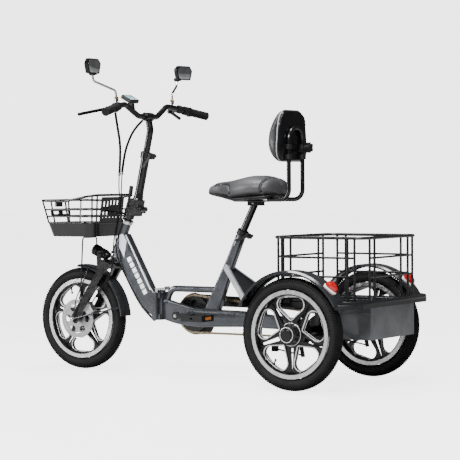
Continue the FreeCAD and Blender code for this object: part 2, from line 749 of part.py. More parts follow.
def belt(big, small, width):
    """A flat loop's solid outline round two circles, at the crank axle and at the rear axle."""
    x, y, z = point("crank_axle")
    far, high = float(dim("crank_axle_x")), float(dim("crank_axle_z")) - float(dim("tyre_radius"))
    tilt = math.atan2(high, far)
    lean = math.acos((float(big) - float(small)) / math.hypot(far, high))
    corners = []
    for middle, radius, angle in (((far, high), big, tilt + lean), ((far, high), big, tilt - lean),
                                  ((0, 0), small, tilt - lean), ((0, 0), small, tilt + lean)):
        corners.append((middle[0] + float(radius) * math.cos(angle),
                        float(dim("tyre_radius")) + middle[1] + float(radius) * math.sin(angle)))
    side = -dim("chain_side")
    straight = side_plate("belt", corners, width, side=side)
    return fuse(straight, cross_drum((x, side, z), big, width / 2),
                cross_drum(at(0.0, side, dim("tyre_radius")), small, width / 2))


def make_drive(lower_tube):
    """Crankset, chain, rear sprocket, chain guard and pedals."""
    axle = point("crank_axle")
    x, y, z = axle
    side, thick, length = dim("crank_side"), dim("crank_thick"), dim("crank_length")
    spindle = cross_drum(axle, dim("spindle_radius"), side + thick / 2)
    ring = cross_drum((x, -dim("chain_side"), z), dim("ring_radius"), dim("ring_thick") / 2)
    holes = []
    for turn in range(5):
        angle = math.radians(72 * turn + 18)
        where = (x + math.cos(angle) * 42, -dim("chain_side"), z + math.sin(angle) * 42)
        holes.append(cross_drum(where, 14, dim("ring_thick")))
    pieces = [spindle, cut(ring, *holes)]
    for way in (1, -1):
        start, end = (x, side * way, z), (x - length * way, side * way, z)
        arm = bar(start, end, thick, 20, before=4, after=4)
        pieces += [arm, cross_drum(start, 16, thick / 2 + 1), cross_drum(end, 13, thick / 2)]
        pieces.append(drum((x - length * way, side * way, z), (0, way, 0), 5, dim("pedal_side") - side + 34))
    node("crankset", fuse(*pieces))
    chain = belt(dim("ring_radius") + 8.5, dim("sprocket_radius") + 8.5, dim("chain_wide"))
    inside = belt(dim("ring_radius") + 0.5, dim("sprocket_radius") + 0.5, dim("chain_wide") + 2)
    node("chain", cut(chain, inside))
    hub = (dim("rear_axle_x"), -dim("chain_side"), dim("tyre_radius"))
    sprocket = fuse(cross_drum(hub, dim("sprocket_radius"), dim("ring_thick") / 2), cross_drum(hub, 27, 7))
    node("rear_sprocket", cut(sprocket, cross_drum(hub, dim("beam_radius") + 0.06, 9)))
    for name, way in (("left", 1), ("right", -1)):
        centre = (x - length * way, dim("pedal_side") * way, z)
        make_pedal(name, centre)
    nose = dim("guard_radius")
    outline = [(322, 306), (632, 315), (660, 237 + nose, 648, 317),
               (640, 239 - nose, 660 + nose, 237),
               (592, 157), (572, 190), (572, 268), (322, 268)]
    guard = side_plate("guard", outline, dim("guard_thick"), side=-dim("guard_side"))
    brackets = [rod(at(forward, -20, 246), at(forward, -dim("guard_side"), height), 5)
                for forward, height in ((572 - 14, 268), (342, 274))]
    hole = cross_drum((x, -dim("guard_side"), z), 26, 9)
    node("chain_guard", cut(fuse(guard, *brackets), hole), lower_tube)


def make_pedal(name, centre):
    """A platform pedal: a body round the spindle, two cage plates and end reflectors."""
    x, y, z = centre
    long, wide, thick = dim("pedal_long"), dim("pedal_wide"), dim("pedal_thick")
    frame = cut(slab(centre, (long, wide, thick)), slab(centre, (long * 0.72, wide * 0.8, thick * 2)))
    core = fuse(cross_drum(centre, 11, wide / 2), slab(centre, (long * 0.8, 14, thick * 0.7)))
    reflectors = [slab((x + long * 0.5 * way, y, z), (6, wide * 0.5, thick * 0.55)) for way in (1, -1)]
    bore = cross_drum(centre, 5.05, wide)
    node(name + "_pedal", cut(fuse(frame, core, *reflectors), bore))


# ---- front frame -----------------------------------------------------------------------------

def head_direction():
    """The way up the steering axis."""
    up = vector(point("head_top")) - vector(point("head_foot"))
    return up.normalize()


def make_front_frame():
    """The down tube with its half of the hinge, and the head tube with its two cups."""
    outline = [(969, 556), (941, 551), (820, 338, 50), (806, 320), (806, 218), (862, 256, 160),
               (938, 362, 300), (987, 446), (1004, 468)]
    tube = side_plate("down_tube_outline", outline, dim("down_width"), dim("down_round"), until=987.5)
    face, thick = dim("hinge_x") + dim("plate_gap") / 2, dim("plate_thick")
    low, high, side = dim("plate_low"), dim("plate_high"), dim("plate_side")
    plate = block(at(face, -side, low), (thick + 6, side * 2, high - low))
    start, end = dim("knuckle_low") + 0.3, dim("knuckle_high") - 0.3
    pin_x, pin_y = dim("hinge_x"), dim("hinge_y")
    ear = drum(at(pin_x, pin_y, start), (0, 0, 1), dim("knuckle_radius"), end - start)
    web = block(at(pin_x, pin_y - 9, start), (20, 9, end - start))
    bore = drum(at(pin_x, pin_y, start - 1), (0, 0, 1), dim("hinge_pin") + 0.06, end - start + 2)
    room = [drum(at(pin_x, pin_y, base), (0, 0, 1), dim("knuckle_radius") + 1.5, length)
            for base, length in ((low - 1, dim("knuckle_low") - low + 1), (end + 0.3, high - end + 1))]
    pivot = block(at(face + 4, -8, high), (14, 16, 12))
    pivot_hole = cross_drum(at(face + 11, 0.0, high + 6), 2.6, 12)
    top, foot = point("head_top"), point("head_foot")
    shell = rod(foot, top, dim("head_radius"))
    cups = [rod(place, other, dim("cup_radius"), before=2) for place, other in ((foot, top), (top, foot))]
    for cup in cups:
        bind(cup, "Height", dim("cup_length"))
    hollow = rod(foot, top, dim("steerer_hole"), before=5, after=5)
    head = node("head_tube", cut(fuse(shell, *cups), hollow))
    head_room = rod(foot, top, dim("head_radius") - 0.2, before=5, after=5)
    race_room = rod(foot, top, dim("cup_radius") + 1, before=14)
    race_room.Height = 14
    body = cut(fuse(cut(fuse(tube, plate, web), *room), ear, pivot), bore, pivot_hole, head_room, race_room)
    node("down_tube", body, head)
    arm_base = at(face + 11, 0.0, high + 6)
    eye = cut(cross_drum(arm_base, 6, 18), cross_drum(arm_base, 2.55, 20))
    hug = cut(fuse(eye, block(at(face - 30, -17, high + 9.6), (48, 34, 7)),
                   block(at(face - 30, -17, high + 9.6), (5, 34, 14))),
              block(at(face - 4, -8.4, high - 1), (24, 16.8, 26)))
    pin = cross_drum(arm_base, 2.5, 17)
    node("frame_latch", fuse(hug, pin))


def make_fork():
    """Steerer, crown and the two raked legs, with the axle they hold."""
    top, foot = point("head_top"), point("head_foot")
    up = head_direction()
    steerer = rod(foot, top, dim("steerer_radius"))
    steerer.Placement = Placement(vector(foot) - up * 40, toward(up))
    steerer.Height = 40 + float((vector(top) - vector(foot)).Length) + 30
    race = rod(foot, top, dim("cup_radius") - 2)
    race.Placement = Placement(vector(foot) - up * 9, toward(up))
    race.Height = 6
    lean = Rotation(Vector(0, 1, 0), math.degrees(math.atan2(up.x, up.z)))
    crown = slab(point("crown"), (44, dim("crown_half") * 2, 22), lean)
    neck = rod(point("crown"), foot, 17, after=-12)
    axle = at(dim("wheelbase"), 0.0, dim("tyre_radius"))
    pieces = [steerer, race, crown, neck, cross_drum(axle, dim("axle_radius") - 2, 72)]
    for side in (1, -1):
        end = at(dim("wheelbase"), 61 * side, dim("tyre_radius"))
        thick, wide = dim("leg_thick"), dim("leg_wide")
        shoulder = point("leg_top", side)
        pieces.append(bar(shoulder, end, thick, wide, after=12))
        pieces.append(cross_drum(shoulder, wide / 2, thick / 2))
        pieces.append(drum(at(dim("wheelbase"), 69.5 * side, dim("tyre_radius")), (0, side, 0), 10, 8))
    return node("fork", fuse(*pieces))


def make_front_fender(fork):
    """The front wheel's guard, with its bracket under the crown and a stay on each side."""
    half, radius = dim("fender_half"), dim("fender_radius")
    arch = arch_shape(radius, -half, half, dim("fender_skin"), 88.0, dim("fender_drop"))
    put(arch, at(dim("wheelbase"), 0.0, dim("tyre_radius")), Rotation(Vector(0, 1, 0), -176))
    pieces = [arch, bar(at(1016, 0, 424), at(1042, 0, 372), 18, 4)]
    for side in (1, -1):
        for angle in (104, 166):
            turn = math.radians(angle)
            reach = float(radius) - 8
            edge = at(dim("wheelbase") + math.cos(turn) * reach, (half + 1) * side,
                      dim("tyre_radius") + math.sin(turn) * reach)
            pieces.append(bent_rod([edge, at(dim("wheelbase") + math.cos(turn) * 90, 76 * side,
                                             dim("tyre_radius") + math.sin(turn) * 90),
                                    at(dim("wheelbase") + math.cos(turn) * 12, 76 * side,
                                       dim("tyre_radius") + math.sin(turn) * 12)], 40, dim("stay_wire")))
    return node("front_fender", fuse(*pieces), fork)


def make_front_brake(fork):
    """The disc caliper on the back of the left fork leg."""
    centre = at(dim("wheelbase") - 62, dim("disc_side"), dim("tyre_radius") + 42)
    turn = Rotation(Vector(0, 1, 0), 34)
    shell = slab(centre, (34, 26, 44), turn)
    slot = cross_drum(at(dim("wheelbase"), dim("disc_side"), dim("tyre_radius")),
                      dim("disc_radius") + 2, 2.2)
    mount = bar(at(dim("wheelbase") - 64, 52, 258), at(dim("wheelbase") - 40, 56, 252), 6, 30)
    node("brake_caliper", fuse(cut(shell, slot), mount), fork)


def make_lamp_and_horn(fork):
    """The headlight with its hood, its fork-crown bracket, and the round horn behind the crown."""
    middle = vector(point("lamp"))
    x, y, z = middle
    ahead = Vector(0.93, 0.0, 0.37)
    radius = dim("lamp_radius")
    tail = tuple(middle - ahead * 24)
    barrel = drum(tail, tuple(ahead), radius, dim("lamp_length"))
    hood = drum(tuple(middle + ahead * 18), tuple(ahead), radius + 4, 20)
    pin = cross_drum((x, y, z), 4, 27)
    node("headlight", fuse(barrel, hood, ball(tail, radius * 0.85), pin))
    pieces = [block((x - 9, 21.5 * side - 2, z - 56), (18, 4, 64)) for side in (1, -1)]
    pieces.append(block(at(1030, -23.5, z - 60), (54, 47, 4)))
    clear = cross_drum((x, y, z), 4.08, 60)
    hx, hy, hz = point("horn")
    dish = drum((hx - 8, hy, hz), (1, 0, 0), dim("horn_radius"), 12)
    node("horn", fuse(dish, drum((hx + 3, hy, hz), (1, 0, 0), 6, 16)), fork)
    return cut(cut(fuse(*pieces), clear), fork)


def basket_plan(level):
    """Half width, back and front of the basket at a height fraction between floor and rim."""
    return (104 + 36 * level, 1046 - 30 * level, 1264 + 28 * level ** 0.5)


def basket_ring(level, height, radius, lift=0.0):
    """A wire ring round the basket; lift raises its back edge."""
    half, back, front = basket_plan(level)
    corner = dim("basket_corner")
    places = [at((back + front) / 2, half, height), at(back, half, height + lift),
              at(back, -half, height + lift), at(front, -half, height + lift * 0.1),
              at(front, half, height + lift * 0.1)]
    bends = [corner] * 6
    if lift:
        places.insert(3, at((back + front) / 2, -half, height))
        bends.insert(3, corner * 3)
    return bent_rod(places + [places[0]], bends, radius)


def make_basket(fork):
    """The front basket: a pressed tub with a wire cage above it, back plate and front plate."""
    floor, belt = 541, 596
    levels = {596: 0.32, 622: 0.52, 650: 0.74, 684: 1.0}
    body = new_body("tub")

    def rounded(sketch, half, back, front, inset):
        radius = 40.0 - inset
        x0, x1, y0 = back + inset, front - inset, half - inset
        cut_in = radius * (1 - math.sqrt(0.5))
        return draw(sketch, [(x1 - radius, -y0),
                             (x1, -y0 + radius, x1 - cut_in, -y0 + cut_in), (x1, y0 - radius),
                             (x1 - radius, y0, x1 - cut_in, y0 - cut_in), (x0 + radius, y0),
                             (x0, y0 - radius, x0 + cut_in, y0 - cut_in), (x0, -y0 + radius),
                             (x0 + radius, -y0, x0 + cut_in, -y0 + cut_in)])
    for inset, kind, low in ((0.0, "PartDesign::AdditiveLoft", floor),
                             (2.5, "PartDesign::SubtractiveLoft", floor + 2.5)):
        first = rounded(new_sketch(body, "XY", low), *basket_plan(0.0), inset)
        second = rounded(new_sketch(body, "XY", belt + (0 if inset == 0 else 2)), *basket_plan(0.32), inset)
        loft = body.newObject(kind, "loft")
        loft.Profile = first
        loft.Sections = [second]
        doc.recompute()
    put(body, at(0.0, 0.0, 0.0))
    wire, rim = dim("basket_wire"), dim("basket_rim")
    pieces = [body]
    for height, level in levels.items():
        lift = 24 if level == 1.0 else 0
        pieces.append(basket_ring(level, height, rim if level == 1.0 else wire, lift))
    half0, back0, front0 = basket_plan(0.32)
    half1, back1, front1 = basket_plan(1.0)
    middle0, middle1 = (back0 + front0) / 2, (back1 + front1) / 2
    inset = 12.4
    rib = wire * 1.2
    start = belt + 0.7
    for side in (1, -1):
        pieces.append(rod(at(middle0, half0 * side, start), at(middle1, half1 * side, 684), rib))
        for low_x, high_x, share, height in ((front0, front1, 0.42, 686), (back0, back1, 0.78, 706)):
            pieces.append(rod(at(low_x, half0 * share * side, start),
                              at(high_x, half1 * share * side, height), rib))
        for low_x, high_x, height in ((front0 - inset, front1 - inset, 687),
                                      (back0 + inset, back1 + inset, 706)):
            pieces.append(rod(at(low_x, (half0 - inset) * side, start),
                              at(high_x, (half1 - inset) * side, height), rib))
    back_plate = bar(at(1033, 0, 598), at(1019, 0, 700), 150, 3)
    slots = [slab(at(1034 - 14 * share, place, 598 + 102 * share), (12, 10, 24))
             for place in (-55, -33, -11, 11, 33, 55) for share in (0.3, 0.74)]
    front_plate = bar(at(front0 + 5.3, 0, 620.4), at(front0 + 9.6, 0, 651.7), 127, 3)
    windows = [slab(at(front0 + 7, 32 * side, 636), (14, 36, 11)) for side in (1, -1)]
    handle = slab(at(front1 + 4.7, 0, 670.6), (9, 40, 23))
    pieces += [cut(back_plate, *slots), cut(front_plate, *windows), handle]
    return node("front_basket", fuse(*pieces))


def make_front_brackets(lamp_bracket, *others):
    """The lamp bracket, the plates that tie the basket to the stem, and the wire that props it."""
    pieces = [bar(at(946, 0, 632), at(1028, 0, 640), 46, 5), bar(at(1023, 0, 620), at(1019, 0, 668), 60, 4)]
    left = [at(1143, 60, 276), at(1140, 52, 440), at(1139, 46, 537.5)]
    right = [at(1139, -46, 537.5), at(1140, -52, 440), at(1143, -60, 276)]
    pieces.append(bent_rod(left + right, [0, 60, 14, 14, 60, 0], dim("prop_wire")))
    pieces.append(block(at(1131, -22, 533), (16, 44, 8)))
    for side in (1, -1):
        pieces.append(slab(at(1137, 58 * side, 292), (22, 15, 10)))
    node("front_brackets", group(cut(fuse(*pieces), *others), lamp_bracket))


# ---- stem and handlebar ----------------------------------------------------------------------

def stem_up():
    return (vector(point("stem_high")) - vector(point("stem_low"))).normalize()


def make_stem_base(fork):
    """The clamp on the steerer, with the lower half of the folding joint."""
    up = stem_up()
    foot, low = vector(point("stem_foot")), vector(point("stem_low"))
    head_up = head_direction()
    clamp = rod(tuple(foot - head_up * 12), tuple(foot + head_up * 10), 20)
    turn = Rotation(Vector(1, 0, 0), Vector(0, 1, 0), up, "ZYX")
    side = dim("block_side")
    centre = low - up * 17 + Vector(8, 0, 0)
    half = slab(tuple(centre), (side + 8, side, 32), turn)
    pin = vector(point("fold_pin"))
    gap = slab(tuple(low + Vector(-30, 0, 4)), (60, 22.6, 34), turn)
    ears = [drum((pin.x, 17 * way - 5.5, pin.z), (0, 1, 0), 10, 11) for way in (1, -1)]
    ears += [slab((pin.x + 12, 17 * way, pin.z - 7), (26, 11, 14), turn) for way in (1, -1)]
    bolt = drum((pin.x, -26, pin.z), (0, 1, 0), 4, 52)
    body = cut(fuse(clamp, half), gap)
    lug = [slab(tuple(low + Vector(44, 8 * way, -20)), (20, 5, 16), turn) for way in (1, -1)]
    hole = drum((float(low.x) + 49, -15, float(low.z) - 20), (0, 1, 0), 3.06, 30)
    hollow = rod(tuple(foot - head_up * 30), tuple(foot + head_up * 9), 12.75)
    latch_room = slab(tuple(low + Vector(52.5, 0, -18)), (20, 11.5, 30), turn)
    return node("stem_base", cut(fuse(body, *ears, bolt, *lug), hole, hollow, latch_room), fork)


def make_stem(stem_base):
    """The folding stem: upper half of the joint, the tube, and the height clamp at its top."""
    up = stem_up()
    low, high = vector(point("stem_low")), vector(point("stem_high"))
    turn = Rotation(Vector(1, 0, 0), Vector(0, 1, 0), up, "ZYX")
    side = dim("block_side")
    pin = vector(point("fold_pin"))
    half = slab(tuple(low + up * 16 + Vector(2, 0, 0)), (side, side, 30), turn)
    tube = rod(tuple(low), tuple(high), dim("stem_radius"), before=-20)
    taper = cone(tuple(low + up * 28), tuple(up), 21, 17, 30)
    ear = drum((pin.x, -11, pin.z), (0, 1, 0), 10, 22)
    web = slab((pin.x + 12, 0, pin.z + 8), (26, 22, 16), turn)
    bore = drum((pin.x, -14, pin.z), (0, 1, 0), 4.06, 28)
    collar = rod(tuple(high - up * 26), tuple(high), dim("collar_radius"))
    lug = slab(tuple(high - up * 13 + Vector(-27, 0, -4)), (20, 26, 22), turn)
    slit = slab(tuple(high - up * 13 + Vector(-28, 0, -4)), (30, 3, 40), turn)
    lug_at = high - up * 13 + Vector(-31, 0, -4)
    lug_hole = drum((lug_at.x, -20, lug_at.z), (0, 1, 0), 3.06, 40)
    room = rod(tuple(low + up * 40), tuple(high), dim("stem_hole"), after=5)
    shelf = slab(tuple(low + up * 0.4), (140, 60, 1.2), turn)
    body = cut(fuse(half, tube, taper, collar, lug, ear, web), room, slit, lug_hole, bore)
    stem = node("stem_tube", body, stem_base, shelf)
    lever_pin = drum((lug_at.x, -16, lug_at.z), (0, 1, 0), 3, 38)
    handle = bar((lug_at.x, 19, lug_at.z), (lug_at.x + 22, 28, lug_at.z - 42), 12, 6, before=6, after=4,
                 across=(1, 0, 0))
    nut = drum((lug_at.x, -22, lug_at.z), (0, 1, 0), 6, 8)
    node("height_lever", fuse(lever_pin, handle, nut))
    hook_at = low + Vector(49, 0, -20)
    axle = drum((hook_at.x, -13, hook_at.z), (0, 1, 0), 3, 26)
    tail = bar((hook_at.x, 0, hook_at.z), (hook_at.x - 22, 0, hook_at.z + 96), 10, 7, before=3)
    grip = bar((hook_at.x - 17, 0, hook_at.z + 62), (hook_at.x - 24, 0, hook_at.z + 104), 16, 9)
    node("stem_latch", fuse(axle, tail, grip))
    return stem


def bar_places(side):
    return [point(name, side) for name in ("bar_knee", "bar_rise", "bar_grip", "bar_end")]


def make_handlebar():
    """The riser that slides in the stem, and the bar with its rise and back sweep."""
    riser = bent_rod([point("riser_low"), point("riser_bend"), point("bar_middle")], 60, dim("riser_radius"))
    right, left = bar_places(-1), bar_places(1)
    grip_bar = bent_rod(right[::-1] + left, 40, dim("bar_radius"))
    clamp = cross_drum(point("bar_middle"), 17, 24)
    middle = vector(point("bar_middle"))
    knobs = [drum(tuple(middle + Vector(14, 14 * way - 3, -4)), (1, 0, 0), 3, 6) for way in (1, -1)]
    return node("handlebar", fuse(riser, grip_bar, clamp, *knobs))


def along_grip(side, share):
    """A place on the straight end of the bar, and the way outward along it."""
    start, end = vector(point("bar_grip", side)), vector(point("bar_end", side))
    return start + (end - start) * share, (end - start).normalize()


def make_controls(handlebar):
    """Grips, throttle, lever clamps, brake levers and the display."""
    grips = []
    for side in (1, -1):
        inner = 0.24 if side > 0 else 0.42
        (start, out), (end, _) = along_grip(side, inner), along_grip(side, 1.0)
        grips.append(rod(tuple(start), tuple(end), dim("grip_radius"), after=3))
        grips.append(rod(tuple(start), tuple(start + out * 5), dim("grip_radius") + 3))
    node("grips", fuse(*grips), handlebar)
    start, out = along_grip(-1, 0.24)
    body = rod(tuple(start), tuple(start + out * 22), dim("throttle_radius"))
    paddle = slab(tuple(start + out * 11 + Vector(-16, 0, -14)), (10, 18, 20))
    bore = rod(tuple(start - out * 3), tuple(start + out * 30), dim("bar_radius") + 0.3)
    node("throttle", cut(fuse(body, paddle), bore))
    clamps = []
    levers = []
    for side, name in ((1, "left"), (-1, "right")):
        near, out = along_grip(side, 0.1)
        pivot, tip = vector(point("lever_pivot", side)), vector(point("lever_tip", side))
        band = rod(tuple(near - out * 8 * side), tuple(near + out * 8 * side), 17)
        arm = bar(tuple(near), tuple(pivot), 14, 15, before=-4, after=4)
        boss = drum((pivot.x, pivot.y, pivot.z - 9), (0, 0, 1), 9, 18)
        mouth = slab((pivot.x + 4, pivot.y + 6 * side, pivot.z), (40, 40, 9.2))
        pin = drum((pivot.x, pivot.y, pivot.z - 8.5), (0, 0, 1), 2.5, 17)
        clamps.append(cut(fuse(fuse(cut(fuse(arm, boss), mouth), pin), band), handlebar))
        eye = drum((pivot.x, pivot.y, pivot.z - 4.3), (0, 0, 1), 12, 8.6)
        around = drum((pivot.x, pivot.y, pivot.z - 20), (0, 0, 1), 9.8, 40)
        blade = bar(tuple(pivot + Vector(3, 4 * side, 0)), tuple(tip), 12, 6, across=(0, 0, 1))
        hole = drum((pivot.x, pivot.y, pivot.z - 9), (0, 0, 1), 2.56, 18)
        clear = slab((pivot.x - 16, pivot.y, pivot.z), (18, 60, 30))
        lever = cut(fuse(eye, cut(blade, around), ball(tuple(tip), 7)), hole, clear)
        levers.append((name + "_brake_lever", lever))
    bracket = node("lever_clamps", group(*clamps))
    for name, shape in levers:
        node(name, shape)
    place = vector(point("display"))
    turn = Rotation(Vector(0, 1, 0), -28)
    case = slab(tuple(place + Vector(4, 0, 8)), (46, 62, 15), turn)
    mount = bar(tuple(place + Vector(0, 0, 4)), (float(place.x) - 6, float(place.y), 1044), 14, 20)
    node("display", fuse(case, mount), handlebar)
    return bracket


def mirror_joint(side):
    """The pin at the mirror's lower inner corner, behind its case."""
    return vector(point("mirror_head", side)) + Vector(17.5, -20 * side, -28)


def make_mirrors(handlebar, bracket):
    """Two mirrors on bent stalks; each head tips on a pin at its stalk's end."""
    stalks = []
    for side in (1, -1):
        foot = vector(point("mirror_foot", side))
        joint = mirror_joint(side)
        route = [foot - Vector(0, 0, 16), foot + Vector(2, 2 * side, 40),
                 joint + Vector(-2, -6 * side, -28), joint]
        stalks.append(bent_rod([tuple(place) for place in route], 14, dim("stalk_radius")))
        stalks.append(drum(tuple(foot - Vector(0, 0, 2)), (0, 0, 1), 8, 12))
        stalks.append(drum((joint.x, joint.y - 7, joint.z), (0, 1, 0), 5, 14))
    node("mirror_stalks", fuse(*stalks), handlebar, bracket)
    for side, name in ((1, "left"), (-1, "right")):
        head = vector(point("mirror_head", side))
        body = new_body(name + "_mirror_case")
        outline = [(-50, 12), (-30, 29), (35, 29), (50, 9), (38, -29), (-38, -29)]
        pad(body, draw(new_sketch(body, "XY"), [(x * side, z) for x, z in outline]), dim("mirror_thick"))
        soften(body, 5.0, lambda edge: abs(edge.BoundBox.ZLength - float(dim("mirror_thick"))) < 0.1)
        upright = Rotation(Vector(0, 1, 0), Vector(0, 0, 1), Vector(1, 0, 0), "YZX")
        body.Placement = Placement(head, Rotation(Vector(0, 0, 1), 6 * side) * upright)
        joint = mirror_joint(side)
        ears = []
        for way in (1, -1):
            low_y = joint.y + 10.6 * way - 2.6
            ears.append(drum((joint.x, low_y, joint.z), (0, 1, 0), 7, 5.2))
            ears.append(block((joint.x - 13, low_y, joint.z - 5), (13, 5.2, 12)))
        node(name + "_mirror", fuse(body, *ears))


def cable(name, places, radius):
    """A cable along hand-placed points: each bend is as large as its two runs allow."""
    spots = [vector(place) for place in places]
    bends = [0.0]
    for before, here, after in zip(spots, spots[1:], spots[2:]):
        turn = (here - before).getAngle(after - here)
        shorter = min((here - before).Length, (after - here).Length)
        bends.append(min(0.45 * shorter / math.tan(turn / 2), 400))
    print(name, "bend radii", ["%.0f" % bend for bend in bends[1:]])
    return bent_rod(places, bends + [0.0], radius)


def make_cables(solid_front):
    """The sleeves from the handlebar, and the brake and lamp cables that leave them."""
    left = [at(864, 190, 1030), at(866, 176, 982), at(905, 104, 915), at(948, 46, 850), at(964, 31, 792)]
    right = [at(864, 10, 1003), at(898, 14, 975), at(930, 17, 920), at(952, 16, 860), at(963, 14, 796)]
    node("upper_cables", group(cable("left sleeve", left, dim("bundle_radius")),
                               cable("right sleeve", right, dim("bundle_radius"))))
    brake = [at(964, 31, 791), at(969, 31, 740), at(958, 34, 692), at(962, 35, 645), at(975, 35, 598),
             at(985, 37, 550), at(989, 42, 500), at(987, 46, 455), at(993, 48, 410), at(1012, 50, 370),
             at(1040, 51, 335), at(1072, 48, 304), at(1097, 43, 273)]
    rear = [at(963, 14, 795), at(967, 14, 745), at(964, 19, 700), at(963, 28, 658), at(972, 29, 612),
            at(982, 30, 562), at(986, 30, 512), at(980, 29, 465), at(965, 26, 422), at(944, 23.5, 384)]
    node("lower_cables", group(cut(cable("brake cable", brake, dim("cable_radius")), *solid_front),
                               cable("rear cable", rear, dim("cable_radius"))))


# ---- seat ------------------------------------------------------------------------------------

def make_seat_post():
    """The seat post with the saddle clamp at its head."""
    top, clamp = point("post_top"), point("saddle_clamp")
    post = rod(point("seat_tube_top"), top, dim("post_radius"), before=98, after=4)
    x, y, z = clamp
    head = slab(clamp, (54, 40, 20))
    rails = []
    for side in (1, -1):
        rails.append(bent_rod([at(232, 22 * side, 690), at(262, 22 * side, 684), at(420, 22 * side, 684),
                               at(470, 22 * side, 700)], 22, 3.5))
    cross = rod(at(246, -58, 690), at(246, 58, 690), 7)
    return node("seat_post", fuse(post, head, *rails, cross))


def make_seat_clamp(seat_tube):
    """The collar that grips the post, with its quick-release lever."""
    up = (vector(point("post_top")) - vector(point("seat_tube_top"))).normalize()
    top = vector(point("seat_tube_top")) + up * 8
    collar = rod(tuple(top - up * 2), tuple(top + up * 18), 22.5)
    hollow = rod(tuple(top - up * 30), tuple(top + up * 30), 18.65)
    middle = top + up * 8
    lug_at = middle + Vector(-28, 0, -12)
    lug = slab(tuple(lug_at), (20, 24, 16), Rotation(Vector(0, 1, 0), -25))
    hole = drum((lug_at.x - 3, -20, lug_at.z), (0, 1, 0), 3.06, 40)
    slit = slab(tuple(lug_at), (40, 3, 40), Rotation(Vector(0, 1, 0), -25))
    node("seat_clamp", cut(fuse(collar, lug), hollow, hole, slit), seat_tube)
    axle = drum((lug_at.x - 3, -18, lug_at.z), (0, 1, 0), 3, 36)
    handle = bar((lug_at.x - 3, 20, lug_at.z), (lug_at.x + 26, 32, lug_at.z - 14), 12, 6, before=5, after=12,
                 across=(0, 0, 1))
    nut = drum((lug_at.x - 3, -20, lug_at.z), (0, 1, 0), 6, 7)
    node("seat_lever", fuse(axle, handle, nut))


def make_saddle(post):
    """The wide padded saddle: its side outline and its plan, cut from one another."""
    side = side_plate("saddle_side", [(550, 716), (556, 738, 558, 724), (535, 752), (400, 764, 470, 757),
                                      (310, 782, 352, 774), (226, 752, 254, 778), (232, 700, 218, 724),
                                      (330, 694), (405, 690, 366, 686), (480, 705)], 230)
    body = new_body("saddle_plan")
    half = 108
    sketch = draw(new_sketch(body, "XY", 660), [
        (556, -14), (556, 14, 562, 0), (500, 26, 532, 22), (424, 84, 458, 44), (330, half, 376, 104),
        (222, 62, 256, 100), (222, -62, 212, 0), (330, -half, 256, -100), (424, -84, 376, -104),
        (500, -26, 458, -44)])
    pad(body, sketch, 160, midplane=False)
    plan = put(body, at(0.0, 0.0, 0.0))
    node("saddle", common(side, plan), post)


def make_backrest(post):
    """The hoop behind the saddle, and the padded rest that slides on it."""
    low, corner, top = "back_low", "back_corner", "back_top"
    route = [point(low), point(corner), point(top), point(top, -1), point(corner, -1), point(low, -1)]
    hoop = bent_rod(route, [0, 38, 49.8, 49.8, 38, 0], dim("back_tube"))
    node("backrest_tube", hoop, post)
    hoop_x = float(dim("rear_axle_x") + dim("back_corner_x"))
    half = float(dim("back_half"))
    thick = dim("back_plate")
    face = dim("back_tube") + 0.8
    low_z, high_z = 842, 1016
    body = new_body("rest_plate")
    outline = [(-58, low_z, -84, low_z + 10), (58, low_z), (92, low_z + 40, 84, low_z + 10), (88, 960),
               (50, high_z, 80, high_z - 12), (-50, high_z), (-88, 960, -80, high_z - 12),
               (-92, low_z + 40)]
    pad(body, draw(new_sketch(body, "YZ"), outline), thick, midplane=False)
    body.Placement = Placement(Vector(hoop_x + float(face), 0, 0), Rotation())
    sleeves = []
    for side in (1, -1):
        for height in (842, 880):
            sleeves.append(drum((hoop_x, half * side, height), (0, 0, 1), 14, 18))
            sleeves.append(block((hoop_x, half * side - 12, height), (14, 24, 18)))
    knob_x, knob_y, knob_z = [float(part) for part in point("knob")]
    boss = drum((hoop_x - 22, -half, knob_z), (1, 0, 0), 10, 20)
    strap = block((hoop_x - 10, -half - 12, 868), (24, 24, 30))
    holes = [drum((hoop_x, half * side, 840), (0, 0, 1), dim("back_tube") + 0.3, 130) for side in (1, -1)]
    screw = drum((hoop_x - 30, -half, knob_z), (1, 0, 0), 4.06, 40)
    plate = node("backrest_plate", cut(fuse(body, *sleeves, boss, strap), *holes, screw))
    knob = [drum((hoop_x - 38, -half, knob_z), (1, 0, 0), 15, 14)]
    for turn in range(5):
        angle = math.radians(72 * turn)
        lobe = (hoop_x - 37, -half + math.cos(angle) * 14, knob_z + math.sin(angle) * 14)
        knob.append(drum(lobe, (1, 0, 0), 7, 12))
    knob.append(drum((hoop_x - 30, -half, knob_z), (1, 0, 0), 4, 21))
    node("backrest_knob", fuse(*knob))
    cushion = new_body("rest_pad")
    start = hoop_x + float(face) + float(thick)
    shape = [(-70, 832, -100, 844), (70, 832), (108, 880, 100, 844), (96, 970), (56, 1029, 84, 1018),
             (-56, 1029), (-96, 970, -84, 1018), (-108, 880)]
    pad(cushion, draw(new_sketch(cushion, "YZ"), shape), 62, midplane=False)
    soften(cushion, 22.0, lambda edge: edge.BoundBox.XMin > 61.9)
    cushion.Placement = Placement(Vector(start, 0, 0), Rotation())
    node("backrest_pad", cushion)
    return plate


# ---- build and write -------------------------------------------------------------------------

